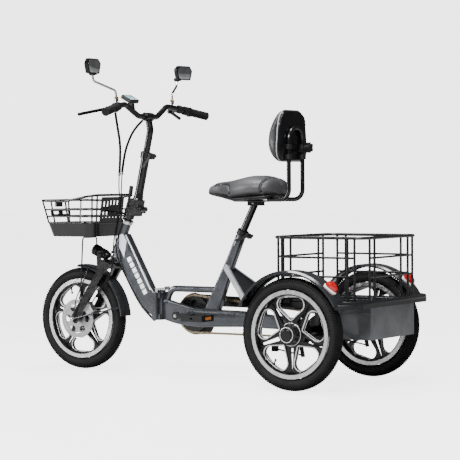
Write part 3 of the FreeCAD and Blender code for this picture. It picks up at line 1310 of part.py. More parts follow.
def build_all():
    lower_tube = make_lower_tube()
    seat_tube = make_seat_tube(lower_tube)
    make_loop_tube(lower_tube, seat_tube)
    beam = make_rear_axle(lower_tube)
    make_stays(seat_tube, beam)
    make_brakes(beam)
    deck = make_deck()
    make_tail_lights(make_arches(deck))
    make_battery_box()
    make_cage()
    make_drive(lower_tube)
    make_wheels()
    make_front_frame()
    fork = make_fork()
    fender = make_front_fender(fork)
    make_front_brake(fork)
    lamp_bracket = make_lamp_and_horn(fork)
    basket = make_basket(fork)
    stem_base = make_stem_base(fork)
    make_front_brackets(lamp_bracket, fork, basket, stem_base, fender)
    make_stem(stem_base)
    handlebar = make_handlebar()
    bracket = make_controls(handlebar)
    make_mirrors(handlebar, bracket)
    make_cables([fork, stem_base])
    post = make_seat_post()
    make_seat_clamp(seat_tube)
    make_saddle(post)
    make_backrest(post)
    doc.recompute()


def check_all():
    """Stop if any object failed, or any node has no valid solid."""
    wrong = ["%s failed" % obj.Name for obj in doc.Objects if "Invalid" in obj.State or "Error" in obj.State]
    for obj in nodes:
        if obj.Shape.isNull() or not obj.Shape.isValid() or not obj.Shape.Solids:
            wrong.append("%s has no valid solid" % obj.Label)
    if wrong:
        raise RuntimeError("; ".join(wrong))


def write_nodes():
    os.makedirs("parts", exist_ok=True)
    for obj in nodes:
        obj.Shape.exportStep("parts/%s.step" % obj.Label)


build_all()
check_all()
write_nodes()
print(len(nodes), "nodes written")
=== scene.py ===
"""Looks of the folding electric tricycle: finishes, tyres, cushions, cables and small trim.

Every place comes from the CAD frame.  at(forward, left, up) is measured in millimetres from the
point on the ground under the rear axle, as in the CAD source.
"""
import math
import bpy
import bmesh
from mathutils import Matrix, Vector
from mathutils.bvhtree import BVHTree
from mathutils.kdtree import KDTree


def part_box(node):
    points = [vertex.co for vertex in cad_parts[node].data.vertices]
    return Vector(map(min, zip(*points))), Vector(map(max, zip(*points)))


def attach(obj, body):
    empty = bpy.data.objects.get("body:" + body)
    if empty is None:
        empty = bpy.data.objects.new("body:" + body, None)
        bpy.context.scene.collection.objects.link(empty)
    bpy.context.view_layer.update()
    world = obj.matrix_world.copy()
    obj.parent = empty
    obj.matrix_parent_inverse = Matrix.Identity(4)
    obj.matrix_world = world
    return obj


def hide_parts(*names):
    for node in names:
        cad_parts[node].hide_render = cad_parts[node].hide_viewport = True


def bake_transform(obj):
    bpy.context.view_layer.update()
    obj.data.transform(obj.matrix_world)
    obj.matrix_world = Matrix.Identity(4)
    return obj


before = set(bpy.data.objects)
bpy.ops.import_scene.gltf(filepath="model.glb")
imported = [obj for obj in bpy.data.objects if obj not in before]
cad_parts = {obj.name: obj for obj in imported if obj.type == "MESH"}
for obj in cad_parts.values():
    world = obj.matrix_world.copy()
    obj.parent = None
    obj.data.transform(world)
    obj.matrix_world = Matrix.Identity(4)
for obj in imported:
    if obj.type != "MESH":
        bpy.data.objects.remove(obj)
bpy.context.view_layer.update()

MM = 0.001
TURN = 2 * math.pi


def middle(node):
    """The centre of a CAD node's box."""
    low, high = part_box(node)
    return (low + high) / 2


REAR_AXLE = middle("rear_left_tyre")


def at(forward, left, up):
    """A place in metres from millimetres forward of, left of and above the rear axle's ground point."""
    return Vector((REAR_AXLE.x + forward * MM, left * MM, up * MM))


# ---- materials -------------------------------------------------------------------------------

class Look:
    """A material under construction: its nodes, and the shader they feed."""

    def __init__(self, name, colour, roughness=0.5, metallic=0.0, **sockets):
        """Start a material; further shader sockets are given by their names in lower case."""
        self.material = bpy.data.materials.new(name)
        self.material.use_nodes = True
        self.tree = self.material.node_tree
        self.shader = self.tree.nodes["Principled BSDF"]
        self.colour = (*colour, 1.0)
        self.shader.inputs["Base Color"].default_value = self.colour
        self.shader.inputs["Roughness"].default_value = roughness
        self.shader.inputs["Metallic"].default_value = metallic
        for socket, value in sockets.items():
            self.shader.inputs[socket.replace("_", " ").title().replace("Ior", "IOR")].default_value = value
        self.place = self.tree.nodes.new("ShaderNodeTexCoord").outputs["Object"]

    def link(self, source, target):
        """Join an output to an input."""
        self.tree.links.new(source, target)

    def noise(self, scale, detail=4.0, stretch=None):
        """Fractal noise over the object, optionally stretched along some axes."""
        place = self.place
        if stretch:
            mapping = self.tree.nodes.new("ShaderNodeMapping")
            mapping.inputs["Scale"].default_value = stretch
            self.link(place, mapping.inputs["Vector"])
            place = mapping.outputs["Vector"]
        node = self.tree.nodes.new("ShaderNodeTexNoise")
        node.inputs["Scale"].default_value = scale
        node.inputs["Detail"].default_value = detail
        self.link(place, node.inputs["Vector"])
        return node.outputs["Fac"]

    def cells(self, scale):
        """Distance to the nearest cell centre, for grain and flakes."""
        node = self.tree.nodes.new("ShaderNodeTexVoronoi")
        node.inputs["Scale"].default_value = scale
        self.link(self.place, node.inputs["Vector"])
        return node.outputs["Distance"]

    def spread(self, value, low, high, start=0.3, end=0.7):
        """Map a value onto low..high between two thresholds."""
        node = self.tree.nodes.new("ShaderNodeMapRange")
        for socket, number in (("From Min", start), ("From Max", end), ("To Min", low), ("To Max", high)):
            node.inputs[socket].default_value = number
        self.link(value, node.inputs["Value"])
        return node.outputs["Result"]

    def blend(self, factor, first, second):
        """A colour between two, each a colour or an output."""
        node = self.tree.nodes.new("ShaderNodeMix")
        node.data_type = "RGBA"
        self.link(factor, node.inputs["Factor"])
        for socket, colour in ((node.inputs[6], first), (node.inputs[7], second)):
            if isinstance(colour, tuple):
                socket.default_value = colour if len(colour) == 4 else (*colour, 1.0)
            else:
                self.link(colour, socket)
        return node.outputs[2]

    def math(self, operation, first, second):
        """One arithmetic step on two values, each a number or an output."""
        node = self.tree.nodes.new("ShaderNodeMath")
        node.operation = operation
        for socket, value in zip(node.inputs, (first, second)):
            if isinstance(value, (int, float)):
                socket.default_value = value
            else:
                self.link(value, socket)
        return node.outputs["Value"]

    def from_axis(self, centre):
        """Distance in metres from a left-right axis through a point."""
        shift = self.tree.nodes.new("ShaderNodeVectorMath")
        shift.operation = "SUBTRACT"
        shift.inputs[1].default_value = centre
        flat = self.tree.nodes.new("ShaderNodeVectorMath")
        flat.operation = "MULTIPLY"
        flat.inputs[1].default_value = (1, 0, 1)
        size = self.tree.nodes.new("ShaderNodeVectorMath")
        size.operation = "LENGTH"
        self.link(self.place, shift.inputs[0])
        self.link(shift.outputs[0], flat.inputs[0])
        self.link(flat.outputs[0], size.inputs[0])
        return size.outputs["Value"]

    def edges(self, radius=0.0012):
        """One along the shape's sharp edges, nothing on its flats."""
        bevel = self.tree.nodes.new("ShaderNodeBevel")
        bevel.inputs["Radius"].default_value = radius
        geometry = self.tree.nodes.new("ShaderNodeNewGeometry")
        dot = self.tree.nodes.new("ShaderNodeVectorMath")
        dot.operation = "DOT_PRODUCT"
        self.link(bevel.outputs["Normal"], dot.inputs[0])
        self.link(geometry.outputs["Normal"], dot.inputs[1])
        return self.spread(dot.outputs["Value"], 1.0, 0.0, 0.85, 0.99)

    def colour_from(self, output):
        """Take the shader's colour from an output."""
        self.link(output, self.shader.inputs["Base Color"])

    def roughness_from(self, output):
        """Take the shader's roughness from an output."""
        self.link(output, self.shader.inputs["Roughness"])

    def bump(self, height, distance, strength=0.5):
        """Raise the surface's normals by a height output."""
        node = self.tree.nodes.new("ShaderNodeBump")
        node.inputs["Strength"].default_value = strength
        node.inputs["Distance"].default_value = distance
        self.link(height, node.inputs["Height"])
        self.link(node.outputs["Normal"], self.shader.inputs["Normal"])


def paint(name, colour, roughness=0.3, metallic=0.4, worn=(0.14, 0.14, 0.145), coat=0.6):
    """Sprayed enamel: slight mottling, orange peel, dust in the gloss and lighter worn edges."""
    look = Look(name, colour, roughness, metallic, coat_weight=coat, coat_roughness=0.08)
    cloud = look.noise(14.0)
    darker = tuple(part * 0.78 for part in colour)
    lighter = tuple(min(1.0, part * 1.25 + 0.001) for part in colour)
    body = look.blend(look.spread(cloud, 0.0, 1.0), darker, lighter)
    chips = look.math("MULTIPLY", look.edges(), look.spread(look.noise(90.0, 6.0), 0.0, 1.0, 0.45, 0.62))
    look.colour_from(look.blend(chips, body, worn))
    look.roughness_from(look.spread(look.noise(40.0, 6.0), roughness * 0.8, roughness * 1.3))
    look.bump(look.noise(700.0, 2.0), 0.0002, 0.12)
    return look.material


def metal(name, colour, roughness=0.25, stretch=(1, 1, 1), grain=500.0):
    """Bare metal with fine drawn or turned lines and a few dull patches."""
    look = Look(name, colour, roughness, 1.0)
    lines = look.noise(grain, 3.0, stretch)
    patches = look.noise(30.0, 5.0)
    dull = tuple(part * 0.72 for part in colour)
    look.colour_from(look.blend(look.spread(patches, 0.0, 1.0, 0.35, 0.75), (*colour, 1.0), (*dull, 1.0)))
    dulling = look.math("ADD", lines, patches)
    look.roughness_from(look.spread(dulling, roughness * 0.7, roughness * 1.5, 0.7, 1.3))
    look.bump(lines, 0.0001, 0.15)
    return look.material


def plastic(name, colour, roughness=0.45, grain=900.0, depth=0.00015):
    """Moulded plastic with a fine eroded grain."""
    look = Look(name, colour, roughness, specular_ior_level=0.32)
    cloud = look.noise(25.0)
    lighter = tuple(part * 1.6 + 0.001 for part in colour)
    body = look.blend(look.spread(cloud, 0.0, 1.0), colour, lighter)
    rubbed = look.math("MULTIPLY", look.edges(), 0.5)
    look.colour_from(look.blend(rubbed, body, tuple(part + 0.02 for part in colour)))
    look.roughness_from(look.spread(look.noise(60.0, 5.0), roughness * 0.8, roughness * 1.25))
    look.bump(look.cells(grain), depth, 0.35)
    return look.material


def rubber(name, colour, roughness=0.75, dust=(0.11, 0.105, 0.1)):
    """Rubber with moulded pores and a little road dust in its hollows."""
    look = Look(name, colour, roughness, specular_ior_level=0.18)
    dusty = look.spread(look.noise(18.0, 7.0), 0.0, 0.4, 0.45, 0.75)
    look.colour_from(look.blend(dusty, colour, dust))
    look.roughness_from(look.spread(look.noise(120.0), roughness * 0.85, min(1.0, roughness * 1.15)))
    look.bump(look.noise(650.0, 5.0), 0.0003, 0.35)
    return look.material


def leather(name, colour, lighter, roughness=0.42):
    """Grained synthetic leather: pebbles with creases between them, paler where it is stretched."""
    look = Look(name, colour, roughness, coat_weight=0.12, coat_roughness=0.35)
    look.colour_from(look.blend(look.spread(look.noise(11.0, 6.0), 0.0, 1.0), colour, lighter))
    pebbles = look.cells(620.0)
    creases = look.noise(160.0, 8.0)
    look.roughness_from(look.spread(creases, roughness * 0.8, roughness * 1.3))
    look.bump(look.math("ADD", pebbles, look.math("MULTIPLY", creases, 0.8)), 0.0005, 0.4)
    return look.material


def lens(name, colour, glow=0.0):
    """Tinted clear plastic with a prismatic inside."""
    look = Look(name, colour, 0.12, transmission_weight=0.25, coat_weight=0.8)
    look.colour_from(look.blend(look.spread(look.cells(260.0), 0.0, 1.0, 0.1, 0.6), colour,
                                tuple(part * 0.55 for part in colour)))
    look.roughness_from(look.spread(look.noise(200.0), 0.06, 0.18))
    look.bump(look.cells(260.0), 0.0006, 0.5)
    look.shader.inputs["Emission Color"].default_value = (*colour, 1.0)
    look.shader.inputs["Emission Strength"].default_value = glow
    return look.material


def cast_finish(name, centre):
    """Black cast wheel whose rim is turned to bare metal outside a radius."""
    look = Look(name, (0.004, 0.004, 0.0045), 0.3, 0.2, specular_ior_level=0.35, coat_weight=0.25,
                coat_roughness=0.1)
    radius = look.from_axis(centre)
    turned = look.spread(radius, 0.0, 1.0, 0.1462, 0.1464)
    rings = look.math("SINE", look.math("MULTIPLY", radius, 9000.0), 0.0)
    turning = look.spread(look.noise(35.0, 5.0), 0.0, 1.0)
    silver = look.blend(turning, (0.72, 0.72, 0.73), (0.86, 0.86, 0.87))
    mottle = look.spread(look.noise(20.0), 0.0, 1.0)
    black = look.blend(mottle, (0.003, 0.003, 0.0035), (0.008, 0.008, 0.009))
    look.colour_from(look.blend(turned, black, silver))
    look.link(look.math("MAXIMUM", turned, 0.2), look.shader.inputs["Metallic"])
    look.roughness_from(look.spread(look.noise(90.0), 0.2, 0.36))
    look.bump(look.math("MULTIPLY", rings, look.math("MULTIPLY", turned, 0.5)), 0.00004, 0.5)
    return look.material


def stays_finish():
    """Silver-grey bars that splay rearwards, with a dark pressed sheet between them."""
    look = Look("stays_finish", (0.42, 0.43, 0.45), 0.34, 0.5, coat_weight=0.4, coat_roughness=0.1)
    axes = look.tree.nodes.new("ShaderNodeSeparateXYZ")
    look.link(look.place, axes.inputs["Vector"])
    behind_joint = look.math("SUBTRACT", REAR_AXLE.x + 470 * MM, axes.outputs["X"])
    sheet_edge = look.math("ADD", look.math("MULTIPLY", behind_joint, 98 / 158), 4.5 * MM)
    sheet = look.math("LESS_THAN", look.math("ABSOLUTE", axes.outputs["Y"], 0.0), sheet_edge)
    bars = look.blend(look.spread(look.noise(14.0), 0.0, 1.0), (0.36, 0.37, 0.39), (0.5, 0.51, 0.53))
    look.colour_from(look.blend(sheet, bars, (0.03, 0.032, 0.036)))
    look.roughness_from(look.spread(look.noise(40.0, 6.0), 0.26, 0.42))
    look.bump(look.noise(700.0, 2.0), 0.0002, 0.12)
    return look.material


def chequered(name, colour):
    """Painted sheet with a mottled tone and a fine noisy bump."""
    look = Look(name, colour, 0.34, 0.5, coat_weight=0.4, coat_roughness=0.15)
    look.colour_from(look.blend(look.spread(look.noise(9.0), 0.0, 1.0), tuple(p * 0.8 for p in colour),
                                tuple(p * 1.25 for p in colour)))
    look.roughness_from(look.spread(look.noise(45.0, 6.0), 0.28, 0.45))
    look.bump(look.noise(500.0, 3.0), 0.0002, 0.15)
    return look.material


GUNMETAL = paint("gunmetal_paint", (0.075, 0.08, 0.09), 0.3, 0.8)
BLACK_PAINT = paint("black_paint", (0.003, 0.003, 0.0035), 0.24, 0.1, coat=0.25)
FENDER_PAINT = paint("fender_paint", (0.02, 0.0215, 0.025), 0.2, 0.5, coat=0.9)
BOX_PAINT = paint("box_paint", (0.115, 0.119, 0.128), 0.38, 0.6)
CAGE_PAINT = paint("cage_paint", (0.014, 0.014, 0.015), 0.28, 0.5)
CHROME = metal("polished_steel", (0.78, 0.78, 0.79), 0.12)
BARE_STEEL = metal("brushed_steel", (0.52, 0.52, 0.53), 0.3, (1, 8, 1))
ALUMINIUM = metal("satin_aluminium", (0.68, 0.68, 0.7), 0.28, (8, 1, 1))
CHAIN_STEEL = metal("oiled_chain", (0.36, 0.29, 0.2), 0.32)
MACHINED_EDGE = metal("machined_edge", (0.93, 0.93, 0.94), 0.4)
BRASS = metal("brass", (0.62, 0.47, 0.2), 0.25)
BLACK_PLASTIC = plastic("black_plastic", (0.005, 0.005, 0.0055))
GLOSS_PLASTIC = plastic("gloss_plastic", (0.003, 0.003, 0.0035), 0.18, 300.0, 0.00004)
TYRE_RUBBER = rubber("tyre_rubber", (0.007, 0.007, 0.0072), 0.7, (0.022, 0.021, 0.02))
GRIP_RUBBER = rubber("grip_rubber", (0.006, 0.006, 0.0065), 0.55, (0.016, 0.016, 0.016))
CABLE_RUBBER = rubber("cable_sheath", (0.004, 0.004, 0.0045), 0.35, (0.01, 0.01, 0.01))
SADDLE_COVER = leather("saddle_cover", (0.04, 0.04, 0.043), (0.066, 0.066, 0.07))
BACK_COVER = leather("backrest_cover", (0.022, 0.022, 0.024), (0.038, 0.038, 0.042))
RED_LENS = lens("red_lens", (0.62, 0.003, 0.004), 0.15)
# The pedal reflectors emit a faint glow: painted light, since they are no lamps.
ORANGE_REFLECTOR_PAINTED_GLOW = lens("orange_reflector", (0.85, 0.22, 0.02), 0.15)
WHITE_PLASTIC = plastic("white_plastic", (0.78, 0.78, 0.78), 0.3)
DECK_PAINT = chequered("deck_paint", (0.014, 0.0145, 0.016))
SEAM_THREAD = rubber("seam_thread", (0.03, 0.03, 0.032), 0.6, (0.07, 0.07, 0.07))
# Pale grey for the backrest's rolled rim: the pale colour is a painted highlight along the rim's edge.
PALE_RIM_PAINTED_HIGHLIGHT = leather("pale_rim_painted_highlight", (0.3, 0.3, 0.31), (0.4, 0.4, 0.41))
CLEAR_LENS = lens("clear_lens", (0.75, 0.77, 0.8), 0.05)
MIRROR_GLASS = metal("mirror_glass", (0.86, 0.88, 0.9), 0.04)
SCREEN = lens("screen", (0.35, 0.62, 0.68), 0.9)
# White for the printed bars, and also for the long band on the down tube, where the white is a painted
# highlight.
WHITE_PRINT_AND_PAINTED_HIGHLIGHT = plastic("white_print_and_painted_highlight", (0.85, 0.85, 0.86), 0.35)
DECAL_PALE = plastic("pale_print", (0.55, 0.57, 0.64), 0.35)
DECAL_DARK = plastic("dark_print", (0.012, 0.012, 0.013), 0.3)


def dress(material, *names):
    """Give CAD nodes their material."""
    for name in names:
        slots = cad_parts[name].data.materials
        slots.clear()
        slots.append(material)


def dress_frame():
    """Give the CAD nodes their finishes."""
    dress(GUNMETAL, "lower_tube", "down_tube", "head_tube", "seat_tube", "loop_tube")
    dress(stays_finish(), "seat_stays")
    dress(BLACK_PAINT, "fork", "stem_base", "stem_tube", "handlebar", "front_basket", "front_brackets",
          "rear_axle", "crankset", "backrest_tube", "seat_post")
    dress(FENDER_PAINT, "front_fender", "rear_fenders")
    dress(DECK_PAINT, "deck")
    dress(BOX_PAINT, "battery_box")
    dress(CAGE_PAINT, "cargo_cage")
    dress(BARE_STEEL, "brake_disc", "rear_sprocket")
    dress(CHAIN_STEEL, "chain")
    dress(CHROME, "mirror_stalks")
    dress(ALUMINIUM, "brake_caliper", "frame_latch")
    dress(BLACK_PLASTIC, "height_lever", "seat_lever", "stem_latch", "chain_guard", "left_pedal",
          "right_pedal", "lever_clamps", "display", "throttle", "battery", "backrest_knob", "rear_brakes",
          "drive_motor", "seat_clamp", "backrest_plate")
    dress(GLOSS_PLASTIC, "headlight", "horn", "left_mirror", "right_mirror", "left_brake_lever",
          "right_brake_lever")
    dress(RED_LENS, "tail_lights")
    dress(GRIP_RUBBER, "grips")
    for name in ("front_wheel", "rear_left_wheel", "rear_right_wheel"):
        dress(cast_finish(name + "_finish", middle(name)), name)


# ---- mesh tools ------------------------------------------------------------------------------

def piece(name, mesh, material, body, smooth=40.0, *replaced):
    """Make an object from a bmesh, smooth it by angle, and let it ride on a body."""
    data = bpy.data.meshes.new(name)
    bmesh.ops.recalc_face_normals(mesh, faces=mesh.faces)
    mesh.to_mesh(data)
    mesh.free()
    made = bpy.data.objects.new(name, data)
    bpy.context.scene.collection.objects.link(made)
    data.materials.append(material)
    for face in data.polygons:
        face.use_smooth = True
    data.set_sharp_from_angle(angle=math.radians(smooth))
    if replaced:
        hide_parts(*replaced)
    if body:
        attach(made, body)
    return made


def skin(mesh, rings, closed=False, caps=True, round_ring=True):
    """Join rings of points, all with the same count, into a surface in a bmesh."""
    made = [[mesh.verts.new(place) for place in ring] for ring in rings]
    pairs = list(zip(made, made[1:]))
    if closed:
        pairs.append((made[-1], made[0]))
    for first, second in pairs:
        count = len(first)
        for index in range(count if round_ring else count - 1):
            following = (index + 1) % count
            mesh.faces.new((first[index], first[following], second[following], second[index]))
    if caps and not closed:
        mesh.faces.new(made[0])
        mesh.faces.new(made[-1])
    return made


def square_to(direction):
    """Two unit vectors square to a direction and to each other."""
    direction = direction.normalized()
    helper = Vector((0, 0, 1)) if abs(direction.z) < 0.9 else Vector((1, 0, 0))
    first = direction.cross(helper).normalized()
    return first, direction.cross(first)


def lathe(mesh, start, direction, profile, steps=48):
    """Turn a profile of (distance along, radius) pairs in millimetres about an axis."""
    direction = direction.normalized()
    first, second = square_to(direction)
    rings = []
    for along, radius in profile:
        middle_at = start + direction * (along * MM)
        rings.append([middle_at + (first * math.cos(TURN * step / steps)
                                   + second * math.sin(TURN * step / steps)) * (max(radius, 0.01) * MM)
                      for step in range(steps)])
    skin(mesh, rings)


def centreline(places, order=3, resolution=10):
    """Points along a smooth spline whose control points are the places."""
    data = bpy.data.curves.new("route", "CURVE")
    data.dimensions = "3D"
    spline = data.splines.new("NURBS")
    spline.points.add(len(places) - 1)
    for point, place in zip(spline.points, places):
        point.co = (*place, 1.0)
    spline.order_u = order
    spline.use_endpoint_u = True
    spline.resolution_u = resolution
    holder = bpy.data.objects.new("route", data)
    mesh = bpy.data.meshes.new_from_object(holder)
    line = [vertex.co.copy() for vertex in mesh.vertices]
    bpy.data.objects.remove(holder)
    bpy.data.meshes.remove(mesh)
    bpy.data.curves.remove(data)
    return line


def hose(mesh, line, radius, steps=14, ripple=0.0, period=4):
    """A tube of a radius in millimetres along a line of points; ripple gives it a braid or ribs."""
    first, _ = square_to(line[1] - line[0])
    rings = []
    for index, place in enumerate(line):
        ahead = line[min(index + 1, len(line) - 1)] - line[max(index - 1, 0)]
        ahead.normalize()
        first = (first - ahead * first.dot(ahead)).normalized()
        second = ahead.cross(first)
        size = radius * (1 + (ripple if index % period < period / 2 else 0.0)) * MM
        rings.append([place + (first * math.cos(TURN * step / steps)
                               + second * math.sin(TURN * step / steps)) * size for step in range(steps)])
    skin(mesh, rings)


def even(line, gap):
    """The same line with its points an even gap apart, in millimetres."""
    result = [line[0]]
    left_over = gap * MM
    for start, end in zip(line, line[1:]):
        length = (end - start).length
        travelled = left_over
        while travelled <= length:
            result.append(start.lerp(end, travelled / length))
            travelled += gap * MM
        left_over = travelled - length
    if (result[-1] - line[-1]).length > gap * MM * 0.4:
        result.append(line[-1])
    return result


# ---- tyres and wheels ------------------------------------------------------------------------

TREAD_ROWS = (
    # angle across the casing in degrees, stands up on a lug, share of a lug it is shifted by
    (-80, 0, 0.0), (-70, 0, 0.0), (-66, 1, 0.0), (-46, 1, 0.0), (-43, 0, 0.0), (-39, 0, 0.5), (-36, 1, 0.5),
    (-20, 1, 0.5), (-17, 0, 0.5), (-14, 0, 0.0), (-11, 1, 0.0), (11, 1, 0.0), (14, 0, 0.0), (17, 0, 0.5),
    (20, 1, 0.5), (36, 1, 0.5), (39, 0, 0.5), (43, 0, 0.0), (46, 1, 0.0), (66, 1, 0.0), (70, 0, 0.0),
    (80, 0, 0.0),
)
SIDE_ROWS = ((90, 0.0), (99, 0.0), (101, 0.5), (104, 0.5), (106, 0.0), (118, 0.0), (120, 0.6), (123, 0.0),
             (136, 0.0), (146, 0.0))


def tyre(name, body, lugs=132):
    """A tyre with three rows of blocks, notched shoulders and ringed sidewalls."""
    centre = middle(name)
    low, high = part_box(name)
    outer, half = (high.z - low.z) / 2, (high.y - low.y) / 2
    depth = 0.0044
    bead = 0.1625
    heart = (outer + bead - 0.004) / 2
    tall = outer - heart
    rows = [(-angle, 0, 0.0, lift) for angle, lift in reversed(SIDE_ROWS)]
    rows += [(angle, stands, shift, 0.0) for angle, stands, shift in TREAD_ROWS]
    rows += [(angle, 0, 0.0, lift) for angle, lift in SIDE_ROWS]
    mesh = bmesh.new()
    rings = []
    for lug in range(lugs):
        for share, is_block in ((0.04, False), (0.12, True), (0.56, True), (0.66, False)):
            ring = []
            for across, stands, shift, lift in rows:
                angle = TURN * (lug + share + shift) / lugs
                lean = math.radians(across)
                drop = depth if (abs(across) < 75 and not (stands and is_block)) else 0.0
                if abs(across) >= 75:
                    drop = depth * 0.8 - lift * MM
                reach = heart + (tall - drop) * math.cos(lean)
                side = (half - drop) * math.sin(lean)
                if abs(across) > 90:
                    reach = heart + (tall + 0.001) * math.cos(lean)
                ring.append(centre + Vector((math.cos(angle) * reach, side, math.sin(angle) * reach)))
            rings.append(ring)
    skin(mesh, rings, closed=True, caps=False, round_ring=False)
    return piece(name + "_tread", mesh, TYRE_RUBBER, body, 25.0, name)


# ---- cushions --------------------------------------------------------------------------------

def rounded_ring(centre, across, upward, half, tall, power=2.6, steps=40):
    """A ring of points on a rounded rectangle: half wide along across, tall high along upward."""
    ring = []
    for step in range(steps):
        turn = TURN * step / steps
        wide, high = math.cos(turn), math.sin(turn)
        ring.append(centre + across * (math.copysign(abs(wide) ** (2 / power), wide) * half * MM)
                    + upward * (math.copysign(abs(high) ** (2 / power), high) * tall * MM))
    return ring


def smooth_between(keys, count):
    """More stations between key stations, by a Catmull-Rom curve through each number."""
    result = []
    spans = len(keys) - 1
    for step in range(count + 1):
        place = step / count * spans
        index = min(int(place), spans - 1)
        share = place - index
        around = [keys[max(0, min(spans, index + shift))] for shift in (-1, 0, 1, 2)]
        station = []
        for a, b, c, d in zip(*around):
            station.append(0.5 * (2 * b + (c - a) * share + (2 * a - 5 * b + 4 * c - d) * share ** 2
                                  + (3 * b - a - 3 * c + d) * share ** 3))
        result.append(station)
    return result


def stuffed(name, rings, material, cap, voxel=0.005):
    """A padded form: a closed skin, remeshed, blown up a little by cloth simulation, and smoothed."""
    mesh = bmesh.new()
    skin(mesh, rings)
    made = piece(name, mesh, material, None, 180.0)
    modifier = made.modifiers.new("even_mesh", "REMESH")
    modifier.mode = "VOXEL"
    modifier.voxel_size = voxel
    settle(made)
    start = [vertex.co.copy() for vertex in made.data.vertices]
    cloth = made.modifiers.new("stuffing", "CLOTH")
    cloth.settings.use_pressure = True
    cloth.settings.uniform_pressure_force = 4.0
    cloth.settings.effector_weights.gravity = 0.0
    cloth.settings.tension_stiffness = 40.0
    cloth.settings.compression_stiffness = 40.0
    for number in range(1, 21):
        bpy.context.scene.frame_set(number)
    settle(made)
    for vertex, before in zip(made.data.vertices, start):
        move = vertex.co - before
        if move.length > cap * MM:
            vertex.co = before + move.normalized() * (cap * MM)
    bpy.context.scene.frame_set(1)
    smooth = made.modifiers.new("even_out", "SMOOTH")
    smooth.factor = 0.5
    smooth.iterations = 4
    finer = made.modifiers.new("finer", "SUBSURF")
    finer.levels = finer.render_levels = 1
    settle(made)
    for face in made.data.polygons:
        face.use_smooth = True
    return made


def settle(made):
    """Apply an object's modifiers to its mesh."""
    graph = bpy.context.evaluated_depsgraph_get()
    result = bpy.data.meshes.new_from_object(made.evaluated_get(graph))
    made.modifiers.clear()
    old = made.data
    made.data = result
    bpy.data.meshes.remove(old)


def groove(made, lines, width, depth):
    """Press sewn channels into a cushion along lines of points."""
    spots = [spot for line in lines for spot in even(line, 2.0)]
    tree = KDTree(len(spots))
    for index, spot in enumerate(spots):
        tree.insert(spot, index)
    tree.balance()
    for vertex in made.data.vertices:
        _, _, away = tree.find(vertex.co)
        if away < width * 3 * MM:
            vertex.co -= vertex.normal * (depth * MM * math.exp(-(away / (width * MM)) ** 2))


def onto(made, places):
    """The same places moved onto a cushion's surface."""
    surface = BVHTree.FromPolygons([vertex.co for vertex in made.data.vertices],
                                   [tuple(face.vertices) for face in made.data.polygons])
    return [surface.find_nearest(place)[0] for place in places]


SADDLE_STATIONS = (
    # forward, half width, underside, top
    (222, 44, 716, 752), (228, 66, 706, 766), (244, 86, 700, 775), (272, 101, 697, 779),
    (305, 108, 695, 781), (345, 107, 692, 778), (385, 99, 690, 770), (420, 82, 692, 763),
    (452, 60, 697, 759), (485, 42, 702, 757), (520, 32, 708, 753), (545, 23, 714, 745), (555, 12, 722, 734),
)


def make_saddle():
    """The wide saddle: two thigh lobes, a long nose, and a rear roll, with stitched seams between."""
    rings = []
    for forward, half, low, top in smooth_between(SADDLE_STATIONS, 36):
        spot = at(forward, 0, (low + top) / 2)
        ring = rounded_ring(spot, Vector((0, 1, 0)), Vector((0, 0, 1)), half - 3, (top - low) / 2 - 2, 2.7)
        for place in ring:
            side = abs(place.y) / MM / 110
            if place.z > spot.z:
                place.z -= (side ** 2 * 12 + 4 * math.exp(-(side / 0.12) ** 2)) * MM
        rings.append(ring)
    made = stuffed("saddle_cushion", rings, SADDLE_COVER, 5.0)
    seams = []
    for side in (1, -1):
        seams.append(onto(made, [at(*spot) for spot in (
            (520, 28 * side, 752), (492, 36 * side, 758), (464, 46 * side, 763), (440, 62 * side, 762),
            (426, 80 * side, 750), (420, 90 * side, 733), (422, 92 * side, 714), (428, 84 * side, 697))]))
        seams.append(onto(made, [at(254, reach * side, high) for reach, high in
                                 ((0, 790), (40, 788), (80, 776), (108, 750), (110, 725), (100, 700))]))
    seams = [centreline(seam, 3, 8) for seam in seams]
    groove(made, seams, 4.4, 6.5)
    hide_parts("saddle")
    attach(made, "seat")
    for number, seam in enumerate(seams):
        mesh = bmesh.new()
        hose(mesh, even(onto(made, seam), 3.0), 0.9, 8, 0.25, 2)
        piece("saddle_stitch_%d" % number, mesh, SEAM_THREAD, "seat")
    mesh = bmesh.new()
    rings = []
    for forward, half, low, top in smooth_between(SADDLE_STATIONS, 30)[2:-2]:
        spot = at(forward, 0, low + 2)
        rings.append(rounded_ring(spot, Vector((0, 1, 0)), Vector((0, 0, 1)), half - 9, 7, 4.0))
    skin(mesh, rings)
    piece("saddle_base", mesh, BLACK_PLASTIC, "seat", 50.0)


BACK_STATIONS = ((834, 66), (838, 84), (852, 101), (880, 107), (920, 103), (960, 98), (995, 88), (1018, 70),
                 (1027, 50))


